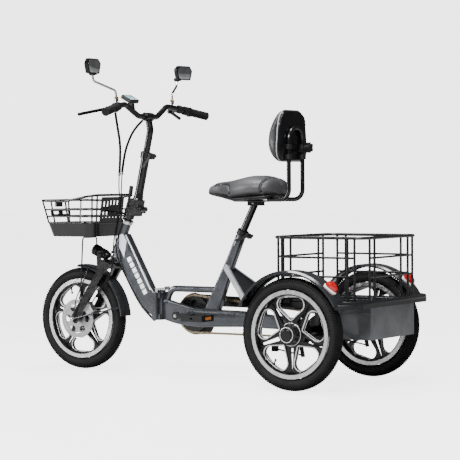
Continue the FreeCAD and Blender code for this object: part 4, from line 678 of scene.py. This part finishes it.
def make_backrest():
    """The backrest cushion: a crowned front, a flat back, a pale rolled rim whose pale grey is a painted
    highlight, and a sewn panel.
    """
    back = 178.6
    rings = []
    for up, half in smooth_between(BACK_STATIONS, 30):
        share = (up - 834) / 193
        deep = 31 * math.sin(0.25 + 2.7 * share ** 0.8) ** 0.8
        spot = at(back + deep + 2, 0, up)
        ring = rounded_ring(spot, Vector((0, 1, 0)), Vector((1, 0, 0)), half - 3, deep, 3.0)
        for place in ring:
            side = abs(place.y) / MM / 105
            if place.x > at(back + deep, 0, 0).x:
                place.x -= side ** 2 * 12 * MM
        rings.append(ring)
    made = stuffed("backrest_cushion", rings, BACK_COVER, 5.0)
    for vertex in made.data.vertices:
        vertex.co.x = max(vertex.co.x, at(back, 0, 0).x)
    border = []
    for step in range(60):
        turn = TURN * step / 60
        wide, high = math.cos(turn), math.sin(turn)
        border.append(at(back + 60, math.copysign(abs(wide) ** 0.7, wide) * 72,
                         930 + math.copysign(abs(high) ** 0.7, high) * 68))
    panel = onto(made, border)
    panel.append(panel[0].copy())
    groove(made, [panel], 3.0, 3.5)
    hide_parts("backrest_pad")
    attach(made, "backrest")
    mesh = bmesh.new()
    hose(mesh, even(onto(made, panel), 3.0), 0.9, 8, 0.25, 2)
    piece("backrest_stitch", mesh, SEAM_THREAD, "backrest")
    mesh = bmesh.new()
    # A rolled rim round the cushion, pale grey as a painted highlight along the edge.
    rim = []
    stations = smooth_between(BACK_STATIONS, 24)
    for up, half in stations:
        rim.append(at(back + 1.5, half - 1, up))
    for up, half in reversed(stations):
        rim.append(at(back + 1.5, 1 - half, up))
    rim.append(rim[0].copy())
    hose(mesh, even(rim, 4.0), 2.2, 10)
    piece("backrest_rim_painted_highlight", mesh, PALE_RIM_PAINTED_HIGHLIGHT, "backrest")
    shell = bmesh.new()
    rings = []
    for out, size in ((0.0, 1.0), (-5.0, 0.985), (-9.5, 0.93), (-10.5, 0.5)):
        ring = []
        for up, half in stations:
            ring.append(at(back - 1.0 + out, (half - 2) * size, 930 + (up - 930) * size))
        for up, half in reversed(stations):
            ring.append(at(back - 1.0 + out, (2 - half) * size, 930 + (up - 930) * size))
        rings.append(ring)
    skin(shell, rings)
    piece("backrest_shell", shell, GLOSS_PLASTIC, "backrest", 35.0)


# ---- cables ----------------------------------------------------------------------------------

LEFT_SLEEVE = ((864, 190, 1030), (866, 176, 982), (905, 104, 915), (948, 46, 850), (964, 31, 791.5))
RIGHT_SLEEVE = ((864, 10, 1003), (898, 14, 975), (930, 17, 920), (952, 16, 860), (963, 14, 795.5))
BRAKE_CABLE = ((964, 31, 792), (969, 31, 740), (958, 34, 692), (962, 35, 645), (975, 35, 598),
               (985, 37, 550), (989, 42, 500), (987, 46, 455), (993, 48, 410), (1012, 50, 370), (1040, 51, 335),
               (1072, 48, 304), (1097, 43, 273))
REAR_CABLE = ((963, 14, 796), (967, 14, 745), (964, 19, 700), (963, 28, 658), (972, 29, 612),
              (982, 30, 562), (986, 30, 512), (980, 29, 465), (965, 26, 422), (944, 23.5, 384))


def split(line, height):
    """The part of a falling line above a height, and the part below it; both hold the point between."""
    index = next(number for number, place in enumerate(line) if place.z < height * MM)
    return line[:index + 1], line[index:]


def make_cables():
    """The sleeves and cables, cut into fixed pieces at set heights; the left cable's end rides on the steering,
    and a conduit rides on the front frame.
    """
    for name, sleeve, cable, last in (("left", LEFT_SLEEVE, BRAKE_CABLE, None),
                                      ("right", RIGHT_SLEEVE, REAR_CABLE, "front_frame")):
        upper, lower = split(even(centreline([at(*spot) for spot in sleeve], 3, 24), 3.0), 862)
        thin = even(centreline([at(*spot) for spot in cable], 3, 16), 3.0)
        middle_part, end_part = split(thin, 600)
        mesh = bmesh.new()
        hose(mesh, upper, 5.0, 14, 0.05, 4)
        made = piece(name + "_sleeve_top", mesh, CABLE_RUBBER, None, 40.0, "upper_cables")
        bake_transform(made)
        for part, line, radius in (("sleeve_end", lower, 5.0), ("cable_top", middle_part, 2.6)):
            mesh = bmesh.new()
            hose(mesh, line, radius, 12, 0.05 if radius > 4 else 0.0, 4)
            made = piece("%s_%s" % (name, part), mesh, CABLE_RUBBER, None, 40.0, "lower_cables")
            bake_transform(made)
        mesh = bmesh.new()
        hose(mesh, end_part, 2.6, 12)
        body = None if last else "steering"
        made = piece(name + "_cable_end", mesh, CABLE_RUBBER, body, 40.0, "lower_cables")
        if last:
            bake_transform(made)
        mesh = bmesh.new()
        lathe(mesh, lower[-1] + Vector((0, 0, 0.004)), Vector((0.03, 0, -1)),
              ((0, 5.6), (1, 6.2), (9, 6.0), (12, 3.2)), 20)
        made = piece(name + "_sleeve_ferrule", mesh, ALUMINIUM, None)
        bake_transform(made)
    mesh = bmesh.new()
    line = [at(forward, 8, up) for forward, up in
            ((1000, 452), (980, 426), (956, 390), (932, 348), (906, 306), (876, 264), (846, 236),
             (813, 208))]
    for shift in (0, 1):
        shifted = [place + Vector((0.004 * shift, -0.011 * shift, -0.002 * shift)) for place in line]
        hose(mesh, even(centreline(shifted, 3, 12), 4.0), 4.6 - shift, 12)
    piece("down_tube_conduit", mesh, CABLE_RUBBER, "front_frame")


# ---- wheels, chain and other trim ------------------------------------------------------------

def ring_bead(mesh, centre, out, radius, side, size, steps=72):
    """A raised round bead about a wheel's axle, at a radius, on the side that out points to."""
    rings = []
    for step in range(steps):
        turn = TURN * step / steps
        away = Vector((math.cos(turn), 0, math.sin(turn)))
        place = centre + away * (radius * MM) + Vector((0, out * side * MM, 0))
        rings.append([place + away * (math.cos(TURN * k / 8) * size * MM)
                      + Vector((0, math.sin(TURN * k / 8) * size * MM, 0)) for k in range(8)])
    skin(mesh, rings, closed=True)


def window_outline(turned):
    """A wheel window's outline in millimetres about the axle, pulled out to the bead's line."""
    corners = ((0, 50.2, 6.0), (102, 136, 27.0), (-102, 136, 27.0))
    outline = []
    for index, (x, z, radius) in enumerate(corners):
        here = Vector((x, z))
        before, after = [(Vector(corners[(index + shift) % 3][:2]) - here).normalized()
                         for shift in (-1, 1)]
        half_angle = before.angle(after) / 2
        centre = here + (before + after).normalized() * (radius / math.sin(half_angle))
        start = here + before * (radius / math.tan(half_angle))
        end = here + after * (radius / math.tan(half_angle))
        first = math.atan2(*(start - centre).yx)
        sweep = (math.atan2(*(end - centre).yx) - first + math.pi) % TURN - math.pi
        for step in range(9):
            angle = first + sweep * step / 8
            outline.append(centre + Vector((math.cos(angle), math.sin(angle))) * (radius + 1.2))
    spin = Matrix.Rotation(-turned, 2)
    return [spin @ place for place in outline]


def even_loop(outline, gap):
    """Points an even gap apart round a closed flat outline."""
    result = []
    for start, end in zip(outline, outline[1:] + outline[:1]):
        count = max(1, round((end - start).length / gap))
        result += [start.lerp(end, step / count) for step in range(count)]
    return result


def make_wheel_trim(wheel, turned, stem_angle):
    """Polished beads round the windows, hub rings and a valve stem."""
    centre = middle(wheel)
    bright = bmesh.new()
    for out in (1, -1):
        for spoke in range(5):
            outline = even_loop(window_outline(math.radians(turned) + TURN * spoke / 5), 4.0)
            rings = []
            for index, spot in enumerate(outline):
                ahead = (outline[(index + 1) % len(outline)] - outline[index - 1]).normalized()
                side = Vector((ahead.y, 0, -ahead.x))
                place = centre + Vector((spot.x, 7.2 * out, spot.y)) * MM
                rings.append([place + side * (math.cos(TURN * k / 6) * 2.5 * MM)
                              + Vector((0, math.sin(TURN * k / 6) * 1.8 * MM, 0)) for k in range(6)])
            skin(bright, rings, closed=True)
        ring_bead(bright, centre, out, 41.5, 8.0, 1.6)
        ring_bead(bright, centre, out, 27.0, 38.4, 1.4)
    piece(wheel + "_beads", bright, MACHINED_EDGE, wheel)
    dark = bmesh.new()
    angle = math.radians(stem_angle)
    inward = Vector((-math.cos(angle), 0, -math.sin(angle)))
    start = centre - inward * 0.144 + Vector((0, 0.002, 0))
    lathe(dark, start, inward + Vector((0, 0.35, 0)),
          ((0, 4.2), (6, 3.6), (20, 3.1), (21, 2.6), (27, 2.6), (28, 4.0), (36, 4.0), (37, 3.4)), 16)
    piece(wheel + "_valve", dark, BLACK_PLASTIC, wheel)


def hex_nut(mesh, place, direction, across, thick, stud=0.35):
    """A hexagon nut with a chamfered top and a short stud end."""
    first, second = square_to(direction)
    direction = direction.normalized()
    rings = []
    for along, size in ((0.0, 1.0), (thick * 0.82, 1.0), (thick, 0.9)):
        middle_of_ring = place + direction * (along * MM)
        reach = across / 2 * size * MM
        rings.append([middle_of_ring + first * (math.cos(TURN * corner / 6) * reach)
                      + second * (math.sin(TURN * corner / 6) * reach) for corner in range(6)])
    skin(mesh, rings)
    lathe(mesh, place, direction, ((thick * 0.5, across * 0.26), (thick * (1 + stud), across * 0.26),
                                   (thick * (1 + stud) + 1, across * 0.2)), 14)


def make_fasteners():
    """Nuts and bolt heads where the parts are held together."""
    groups = {"rear_frame": [], "steering": [], "stem": [], "handlebar": [], "seat": []}
    for side in (1, -1):
        left = Vector((0, side, 0))
        groups["rear_frame"].append((at(0, 314 * side, 206.5), left, 22, 9))
        groups["steering"].append((at(1172, 77 * side, 206.5), left, 20, 8))
        groups["handlebar"].append((at(852, 16 * side, 1034), Vector((0, 0, 1)), 9, 4))
        for forward in (-60, 190):
            groups["rear_frame"].append((at(forward, 190 * side, 306.2), Vector((0, 0, 1)), 11, 4))
        groups["rear_frame"].append((at(312, 112 * side, 302), Vector((0, 0, 1)), 12, 5))
        groups["seat"].append((at(338, 20.5 * side, 676), left, 12, 5))
        groups["steering"].append((at(1137, 66 * side, 292), left, 8, 3))
    groups["stem"].append((at(884, 22.4, 690), Vector((0, 1, 0)), 10, 4))
    groups["rear_frame"].append((at(660, 85, 237), Vector((0, 1, 0)), 15, 4))
    for body, nuts in groups.items():
        mesh = bmesh.new()
        for place, direction, across, thick in nuts:
            hex_nut(mesh, place, direction, across, thick)
        piece(body + "_nuts", mesh, CHROME, body, 30.0)


def plate_mesh(mesh, corners, out, thick, bevel=1.2):
    """A thin plate over a flat outline, with its front edge bevelled."""
    centre = sum(corners, Vector()) / len(corners)
    rings = []
    for lift, shrink in ((0.0, 0.0), (thick * 0.6, 0.0), (thick, bevel)):
        ring = []
        for corner in corners:
            inward = centre - corner
            ring.append(corner + out * (lift * MM) + inward.normalized() * (shrink * MM))
        rings.append(ring)
    skin(mesh, rings)


def flat_trim(name, outline, origin, across, upward, thick, material, body, slot=None):
    """A bevelled plate whose outline is in millimetres along two directions from an origin."""
    mesh = bmesh.new()
    out = across.cross(upward).normalized()
    corners = [origin + across * (a * MM) + upward * (b * MM) for a, b in outline]
    plate_mesh(mesh, corners, out, thick)
    made = piece(name, mesh, material, body, 30.0)
    return made if slot else made


def rounded_box(half_wide, half_high, radius, steps=6):
    """A rounded rectangle's outline."""
    outline = []
    for x, y, first in ((1, 1, 0), (-1, 1, 90), (-1, -1, 180), (1, -1, 270)):
        for step in range(steps + 1):
            turn = math.radians(first + 90 * step / steps)
            outline.append((x * (half_wide - radius) + math.cos(turn) * radius,
                            y * (half_high - radius) + math.sin(turn) * radius))
    return outline


def make_down_tube_graphics():
    """Plain stickers on both faces of the down tube: a pale panel, a dark one and white bars, and a long white
    band whose colour is a painted highlight.
    """
    pale = ((973, 547), (957, 552), (939, 524), (952, 456), (976, 500))
    dark = ((934, 507), (923, 510), (912, 473), (929, 484))
    shapes = [("pale_panel", pale, DECAL_PALE), ("dark_panel", dark, DECAL_DARK)]
    start, end = Vector((930, 458)), Vector((844, 310))
    along = (end - start).normalized()
    across = Vector((-along.y, along.x))
    for index in range(7):
        first = start + (end - start) * (index / 7.0)
        last = start + (end - start) * ((index + 0.78) / 7.0)
        wide = 9.5
        corners = (first - across * wide, first + across * wide, last + across * wide, last - across * wide)
        shapes.append(("bar_%d" % index, [tuple(corner) for corner in corners], WHITE_PRINT_AND_PAINTED_HIGHLIGHT))
    # The long white band on the tube's upper rounding is a painted highlight, not print.
    painted_highlight_stripe = ((944, 545), (940, 541), (822, 332), (826, 330))
    shapes.append(("painted_highlight_stripe", painted_highlight_stripe, WHITE_PRINT_AND_PAINTED_HIGHLIGHT))
    for side, name in ((1, "left"), (-1, "right")):
        for label, corners, material in shapes:
            mesh = bmesh.new()
            reach = 20.1
            rings = []
            for lift in (0.0, 0.35):
                rings.append([at(forward, (reach + lift) * side, up) for forward, up in corners])
            skin(mesh, rings)
            piece("%s_sticker_%s" % (name, label), mesh, material, "front_frame", 20.0)


def make_lamp_details():
    """Headlight glass, bezel and cooling ribs; tail lamps with their domed lenses on pale bases."""
    ahead = Vector((0.93, 0.0, 0.37)).normalized()
    heart = at(1075, 0, 473)
    mesh = bmesh.new()
    lathe(mesh, heart + ahead * 0.0379, ahead,
          ((0, 20.5), (1.5, 20.0), (3.0, 14.0), (3.6, 6.0), (3.8, 0.1)), 40)
    piece("headlight_glass", mesh, CLEAR_LENS, "headlight")
    mesh = bmesh.new()
    lathe(mesh, heart + ahead * 0.036, ahead,
          ((0, 23.3), (3.5, 23.3), (4.2, 22.6), (4.2, 20.2), (0, 20.2)), 40)
    piece("headlight_bezel", mesh, CHROME, "headlight")
    mesh = bmesh.new()
    for place in (-16, -9, -2, 5, 12):
        lathe(mesh, heart + ahead * (place * MM), ahead,
              ((0, 19.0), (0.6, 20.8), (2.6, 20.8), (3.2, 19.0)), 40)
    piece("headlight_ribs", mesh, GLOSS_PLASTIC, "headlight")
    lean = math.radians(133)
    out = Vector((math.cos(lean), 0, math.sin(lean)))
    along = Vector((math.sin(lean), 0, -math.cos(lean)))
    for side, name in ((1, "left"), (-1, "right")):
        centre = at(0, 297 * side, 206.5) + out * 0.2325
        for label, material, levels, slot in (
                ("base", WHITE_PLASTIC, ((-2.5, 1.0), (3, 1.0), (4.5, 0.97), (5, 0.9)), None),
                ("lens", RED_LENS, ((3.5, 0.93), (13, 0.91), (19, 0.8), (23, 0.55), (24, 0.2)),
                 "lens_red")):
            mesh = bmesh.new()
            rings = []
            for lift, size in levels:
                ring = []
                for step in range(36):
                    turn = TURN * step / 36
                    reach = 26 * (1 - 0.13 * math.cos(3 * turn)) * size
                    ring.append(centre + out * (lift * MM) + along * (math.cos(turn) * reach * MM)
                                + Vector((0, math.sin(turn) * reach * 0.86 * MM, 0)))
                rings.append(ring)
            skin(mesh, rings)
            made = piece("%s_tail_%s" % (name, label), mesh, material, "rear_frame", 30.0, "tail_lights")


def make_grips():
    """Ribbed rubber grips with a flange at the inner end."""
    for side, name, inner in ((1, "left", 0.24), (-1, "right", 0.42)):
        start, end = at(842, 196 * side, 1056), at(795, 345 * side, 1028)
        direction = end - start
        first = start + direction * inner
        length = (end - first).length / MM + 3
        profile = [(0, 11.4), (0, 19.0), (4, 19.4), (5.5, 16.0)]
        count = int((length - 14) / 4.2)
        for rib in range(count):
            base = 6.5 + rib * 4.2
            profile += [(base, 15.2), (base + 0.6, 16.4), (base + 2.7, 16.4), (base + 3.3, 15.2)]
        profile += [(length - 6, 15.4), (length - 5, 16.8), (length - 1.5, 16.8), (length, 14.5),
                    (length, 0.1)]
        mesh = bmesh.new()
        lathe(mesh, first, direction, profile, 36)
        piece(name + "_grip_rubber", mesh, GRIP_RUBBER, "handlebar", 30.0, "grips")


def make_mirror_glass():
    """The glass in each mirror, seen by the rider."""
    outline = ((-50, 12), (-30, 29), (35, 29), (50, 9), (38, -29), (-38, -29))
    for side, name in ((1, "left"), (-1, "right")):
        turn = math.radians(6 * side)
        across = Vector((-math.sin(turn), math.cos(turn), 0))
        back = Vector((-math.cos(turn), -math.sin(turn), 0))
        centre = at(884, 308 * side, 1207) + back * 0.0078
        spots = [Vector((a * side * 0.86, b * 0.86)) for a, b in outline]
        rounded = []
        for index, spot in enumerate(spots):
            before, after = spots[index - 1], spots[(index + 1) % len(spots)]
            for step in range(5):
                share = step / 4
                from_side = spot.lerp(before, 0.22 * (1 - share) ** 2)
                rounded.append(from_side.lerp(from_side + (after - spot) * 0.22, share ** 2))
        mesh = bmesh.new()
        rings = []
        for lift, size in ((0.0, 1.0), (0.6, 1.0), (1.0, 0.975)):
            rings.append([centre + back * (lift * MM) + across * (spot.x * size * MM)
                          + Vector((0, 0, spot.y * size * MM)) for spot in rounded])
        skin(mesh, rings)
        piece(name + "_mirror_glass", mesh, MIRROR_GLASS, name + "_mirror", 30.0)


def make_display_screen():
    """The display's lit screen and its two keys."""
    lean = math.radians(-28)
    upward = Vector((math.cos(lean), 0, -math.sin(lean)))
    face = Vector((math.sin(lean), 0, math.cos(lean)))
    left = Vector((0, -1, 0))
    centre = at(860, 98, 1086) + face * 0.0074
    flat_trim("display_screen", rounded_box(24, 14, 3), centre + upward * 0.005, left, upward, 0.8, SCREEN,
              "handlebar")
    for step in (-1, 0, 1):
        spot = centre - upward * 0.0155 + left * (0.015 * step)
        flat_trim("display_key_%d" % (step + 2), rounded_box(5.5, 2.6, 2), spot, left, upward, 1.4,
                  WHITE_PLASTIC, "handlebar")


def make_chain():
    """Roller chain links round the chainring and the sprocket."""
    side = -50
    front, rear = Vector((660, 237)), Vector((0, 206.5))
    big, small = 74.5, 42.5
    between = front - rear
    tilt = math.atan2(between.y, between.x)
    lean = math.acos((big - small) / between.length)
    path = []
    for centre, radius, first, last in ((front, big, tilt + lean, tilt - lean),
                                        (rear, small, tilt - lean, tilt + lean - TURN)):
        for step in range(25):
            angle = first + (last - first) * step / 24
            path.append(centre + Vector((math.cos(angle), math.sin(angle))) * radius)
    total = sum((a - b).length for a, b in zip(path, path[1:] + path[:1]))
    count = 2 * round(total / 12.7 / 2)
    spots = even_walk(path, total / count, count)
    mesh = bmesh.new()
    for index, spot in enumerate(spots):
        following = spots[(index + 1) % count]
        ahead = (following - spot).normalized()
        up = Vector((-ahead.y, ahead.x))
        outline = []
        for centre, first in ((following, -90), (spot, 90)):
            for step in range(6):
                turn = math.radians(first + 180 * step / 5)
                outline.append(centre + ahead * (math.cos(turn) * 4.1) + up * (math.sin(turn) * 4.1))
        wide = 3.3 if index % 2 else 2.2
        for way in (1, -1):
            rings = [[at(place.x, side + way * (wide + lift), place.y) for place in outline]
                     for lift in (0.0, 1.0)]
            skin(mesh, rings)
        lathe(mesh, at(spot.x, side - 3.4, spot.y), Vector((0, 1, 0)), ((0, 3.6), (6.8, 3.6)), 10)
    piece("chain_links", mesh, CHAIN_STEEL, "rear_frame", 30.0, "chain")


def even_walk(path, gap, count):
    """A count of points at an even gap along a closed flat path."""
    result = []
    wanted = 0.0
    travelled = 0.0
    for start, end in zip(path, path[1:] + path[:1]):
        length = (end - start).length
        while wanted <= travelled + length and len(result) < count:
            result.append(start.lerp(end, (wanted - travelled) / length))
            wanted += gap
        travelled += length
    return result


def make_reflectors():
    """Orange reflectors on the pedals' ends, with a faint painted glow."""
    for name, side in (("left_pedal", 1), ("right_pedal", -1)):
        low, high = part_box(name)
        centre = (low + high) / 2
        for way in (1, -1):
            face = Vector((high.x if way > 0 else low.x, centre.y, centre.z))
            flat_trim("%s_reflector_%d" % (name, way + 1), rounded_box(19, 5, 2), face, Vector((0, way, 0)),
                      Vector((0, 0, 1)), 0.9, ORANGE_REFLECTOR_PAINTED_GLOW, name)


def make_box_details():
    """A lid band along each side of the battery box."""
    low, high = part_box("battery_box")
    length = (high.x - low.x) / MM
    for side, name in ((1, "left"), (-1, "right")):
        y = high.y if side > 0 else low.y
        across = Vector((-side, 0, 0))
        centre = Vector(((low.x + high.x) / 2, y, high.z - 0.022))
        flat_trim(name + "_lid_band", rounded_box(length / 2 - 3, 3.0, 2), centre, across,
                  Vector((0, 0, 1)), 1.6, BOX_PAINT, "rear_frame", "box_paint")


def make_deck_lip():
    """The glossy rolled lip round the back of the deck, as far as the wheel arches."""
    path = []
    for side in (1, -1):
        corner = [(-216, 304), (-232, 290), (-246, 275), (-256, 259), (-261, 241)]
        spots = [(forward, reach * side) for forward, reach in corner]
        path += spots if side > 0 else spots[::-1]
    mesh = bmesh.new()
    rings = []
    for index, (forward, left) in enumerate(path):
        before, after = path[max(0, index - 1)], path[min(len(path) - 1, index + 1)]
        along = Vector((after[0] - before[0], after[1] - before[1], 0)).normalized()
        outward = Vector((along.y, -along.x, 0))
        centre = at(forward, left, 316) - outward * (2.5 * MM) * (1 if outward.x < 0 else -1)
        rings.append(rounded_ring(centre, outward, Vector((0, 0, 1)), 4.5, 14, 3.0, 20))
    skin(mesh, rings)
    piece("deck_lip", mesh, FENDER_PAINT, "rear_frame", 40.0)


def make_headset_rings():
    """Bright cup rings at both ends of the head tube, and the stalks' brass nuts."""
    top, foot = at(946, 0, 607), at(1008, 0, 462)
    up = (top - foot).normalized()
    mesh = bmesh.new()
    for place, way in ((top, -1), (foot, 1)):
        lathe(mesh, place, up * way,
              ((0.3, 22.0), (0.3, 23.6), (3, 24.2), (6, 24.2), (8, 23.4), (13, 23.4), (14, 22.5)), 48)
    piece("headset_rings", mesh, CHROME, "front_frame", 30.0)
    mesh = bmesh.new()
    for side in (1, -1):
        hex_nut(mesh, at(858, 190 * side, 1085), Vector((0, 0, 1)), 17, 7, 0.0)
    piece("mirror_nuts", mesh, BRASS, "handlebar", 30.0)


def make_disc_marks():
    """The front disc's bright outer face."""
    centre = middle("front_wheel")
    mesh = bmesh.new()
    for radius in (78.6, 58.0):
        ring_bead(mesh, centre, 1, radius, 42.0, 0.9)
    piece("disc_edges", mesh, CHROME, "front_wheel")


# ---- camera, light and floor -----------------------------------------------------------------

def make_camera():
    """The viewpoint: behind and to the left, near the saddle's height, through a long lens."""
    data = bpy.data.cameras.new("camera")
    data.lens = 146.7
    data.sensor_width = 36.0
    data.clip_end = 60.0
    camera = bpy.data.objects.new("camera", data)
    bpy.context.scene.collection.objects.link(camera)
    yaw, pitch, roll = math.radians(-57.011), math.radians(-1.529), math.radians(-0.366)
    forward = Vector((math.cos(pitch) * math.cos(yaw), math.cos(pitch) * math.sin(yaw), math.sin(pitch)))
    turn = forward.to_track_quat("-Z", "Y").to_matrix() @ Matrix.Rotation(roll, 3, "Z")
    camera.matrix_world = Matrix.Translation(at(-3492.6, 6085.8, 765.2)) @ turn.to_4x4()
    bpy.context.scene.camera = camera


def softbox(name, place, target, size, power):
    """A rectangular area light that faces a target."""
    data = bpy.data.lights.new(name, "AREA")
    data.shape = "RECTANGLE"
    data.size, data.size_y = size
    data.energy = power
    light = bpy.data.objects.new(name, data)
    bpy.context.scene.collection.objects.link(light)
    light.location = place
    light.rotation_euler = (target - place).to_track_quat("-Z", "Y").to_euler()


ROOM_LIGHT = 0.6
ROOM_SEEN = 3.6
ROOM_REFLECTED = 0.1
FLOOR_SEEN = 3.3


def make_studio():
    """A white room's light, three soft boxes and a pale floor."""
    world = bpy.data.worlds.new("studio")
    bpy.context.scene.world = world
    world.use_nodes = True
    tree = world.node_tree
    path = tree.nodes.new("ShaderNodeLightPath")
    strength = tree.nodes.new("ShaderNodeMix")
    strength.inputs["A"].default_value = ROOM_LIGHT
    strength.inputs["B"].default_value = ROOM_SEEN
    dimmer = tree.nodes.new("ShaderNodeMix")
    dimmer.inputs["B"].default_value = ROOM_REFLECTED
    tree.links.new(path.outputs["Is Camera Ray"], strength.inputs["Factor"])
    tree.links.new(path.outputs["Is Glossy Ray"], dimmer.inputs["Factor"])
    tree.links.new(strength.outputs["Result"], dimmer.inputs["A"])
    background = tree.nodes["Background"]
    background.inputs["Color"].default_value = (1.0, 1.0, 1.0, 1.0)
    tree.links.new(dimmer.outputs["Result"], background.inputs["Strength"])
    heart = Vector((0, 0, 0.55))
    softbox("key", Vector((-1.2, 3.4, 3.4)), heart, (2.4, 0.9), 330)
    softbox("fill", Vector((3.6, 3.0, 1.8)), heart, (0.7, 2.2), 150)
    softbox("top", Vector((0.0, 0.0, 4.2)), heart, (3.2, 1.0), 200)
    mesh = bmesh.new()
    reach = 30.0
    mesh.faces.new([mesh.verts.new((x, y, -0.0005)) for x, y in
                    ((-reach, -reach), (reach, -reach), (reach, reach), (-reach, reach))])
    look = Look("floor", (0.4, 0.4, 0.4), 0.7)
    patches = look.spread(look.noise(3.0), 0.0, 1.0)
    look.colour_from(look.blend(patches, (0.38, 0.38, 0.38), (0.42, 0.42, 0.42)))
    seen = look.tree.nodes.new("ShaderNodeLightPath").outputs["Is Camera Ray"]
    look.link(look.math("MULTIPLY", seen, FLOOR_SEEN), look.shader.inputs["Emission Strength"])
    look.shader.inputs["Emission Color"].default_value = (1.0, 1.0, 1.0, 1.0)
    floor = piece("floor", mesh, look.material, None)


dress_frame()
make_camera()
make_studio()
for tyre_name in ("front_tyre", "rear_left_tyre", "rear_right_tyre"):
    tyre(tyre_name, tyre_name.replace("_tyre", "_wheel"))
make_saddle()
make_backrest()
make_cables()
for wheel_name, turned, stem_angle in (("front_wheel", 36, 64), ("rear_left_wheel", 0, 303),
                                       ("rear_right_wheel", 20, 320)):
    make_wheel_trim(wheel_name, turned, stem_angle)
make_fasteners()
make_down_tube_graphics()
make_lamp_details()
make_grips()
make_mirror_glass()
make_display_screen()
make_chain()
make_reflectors()
make_box_details()
make_deck_lip()
make_headset_rings()
make_disc_marks()
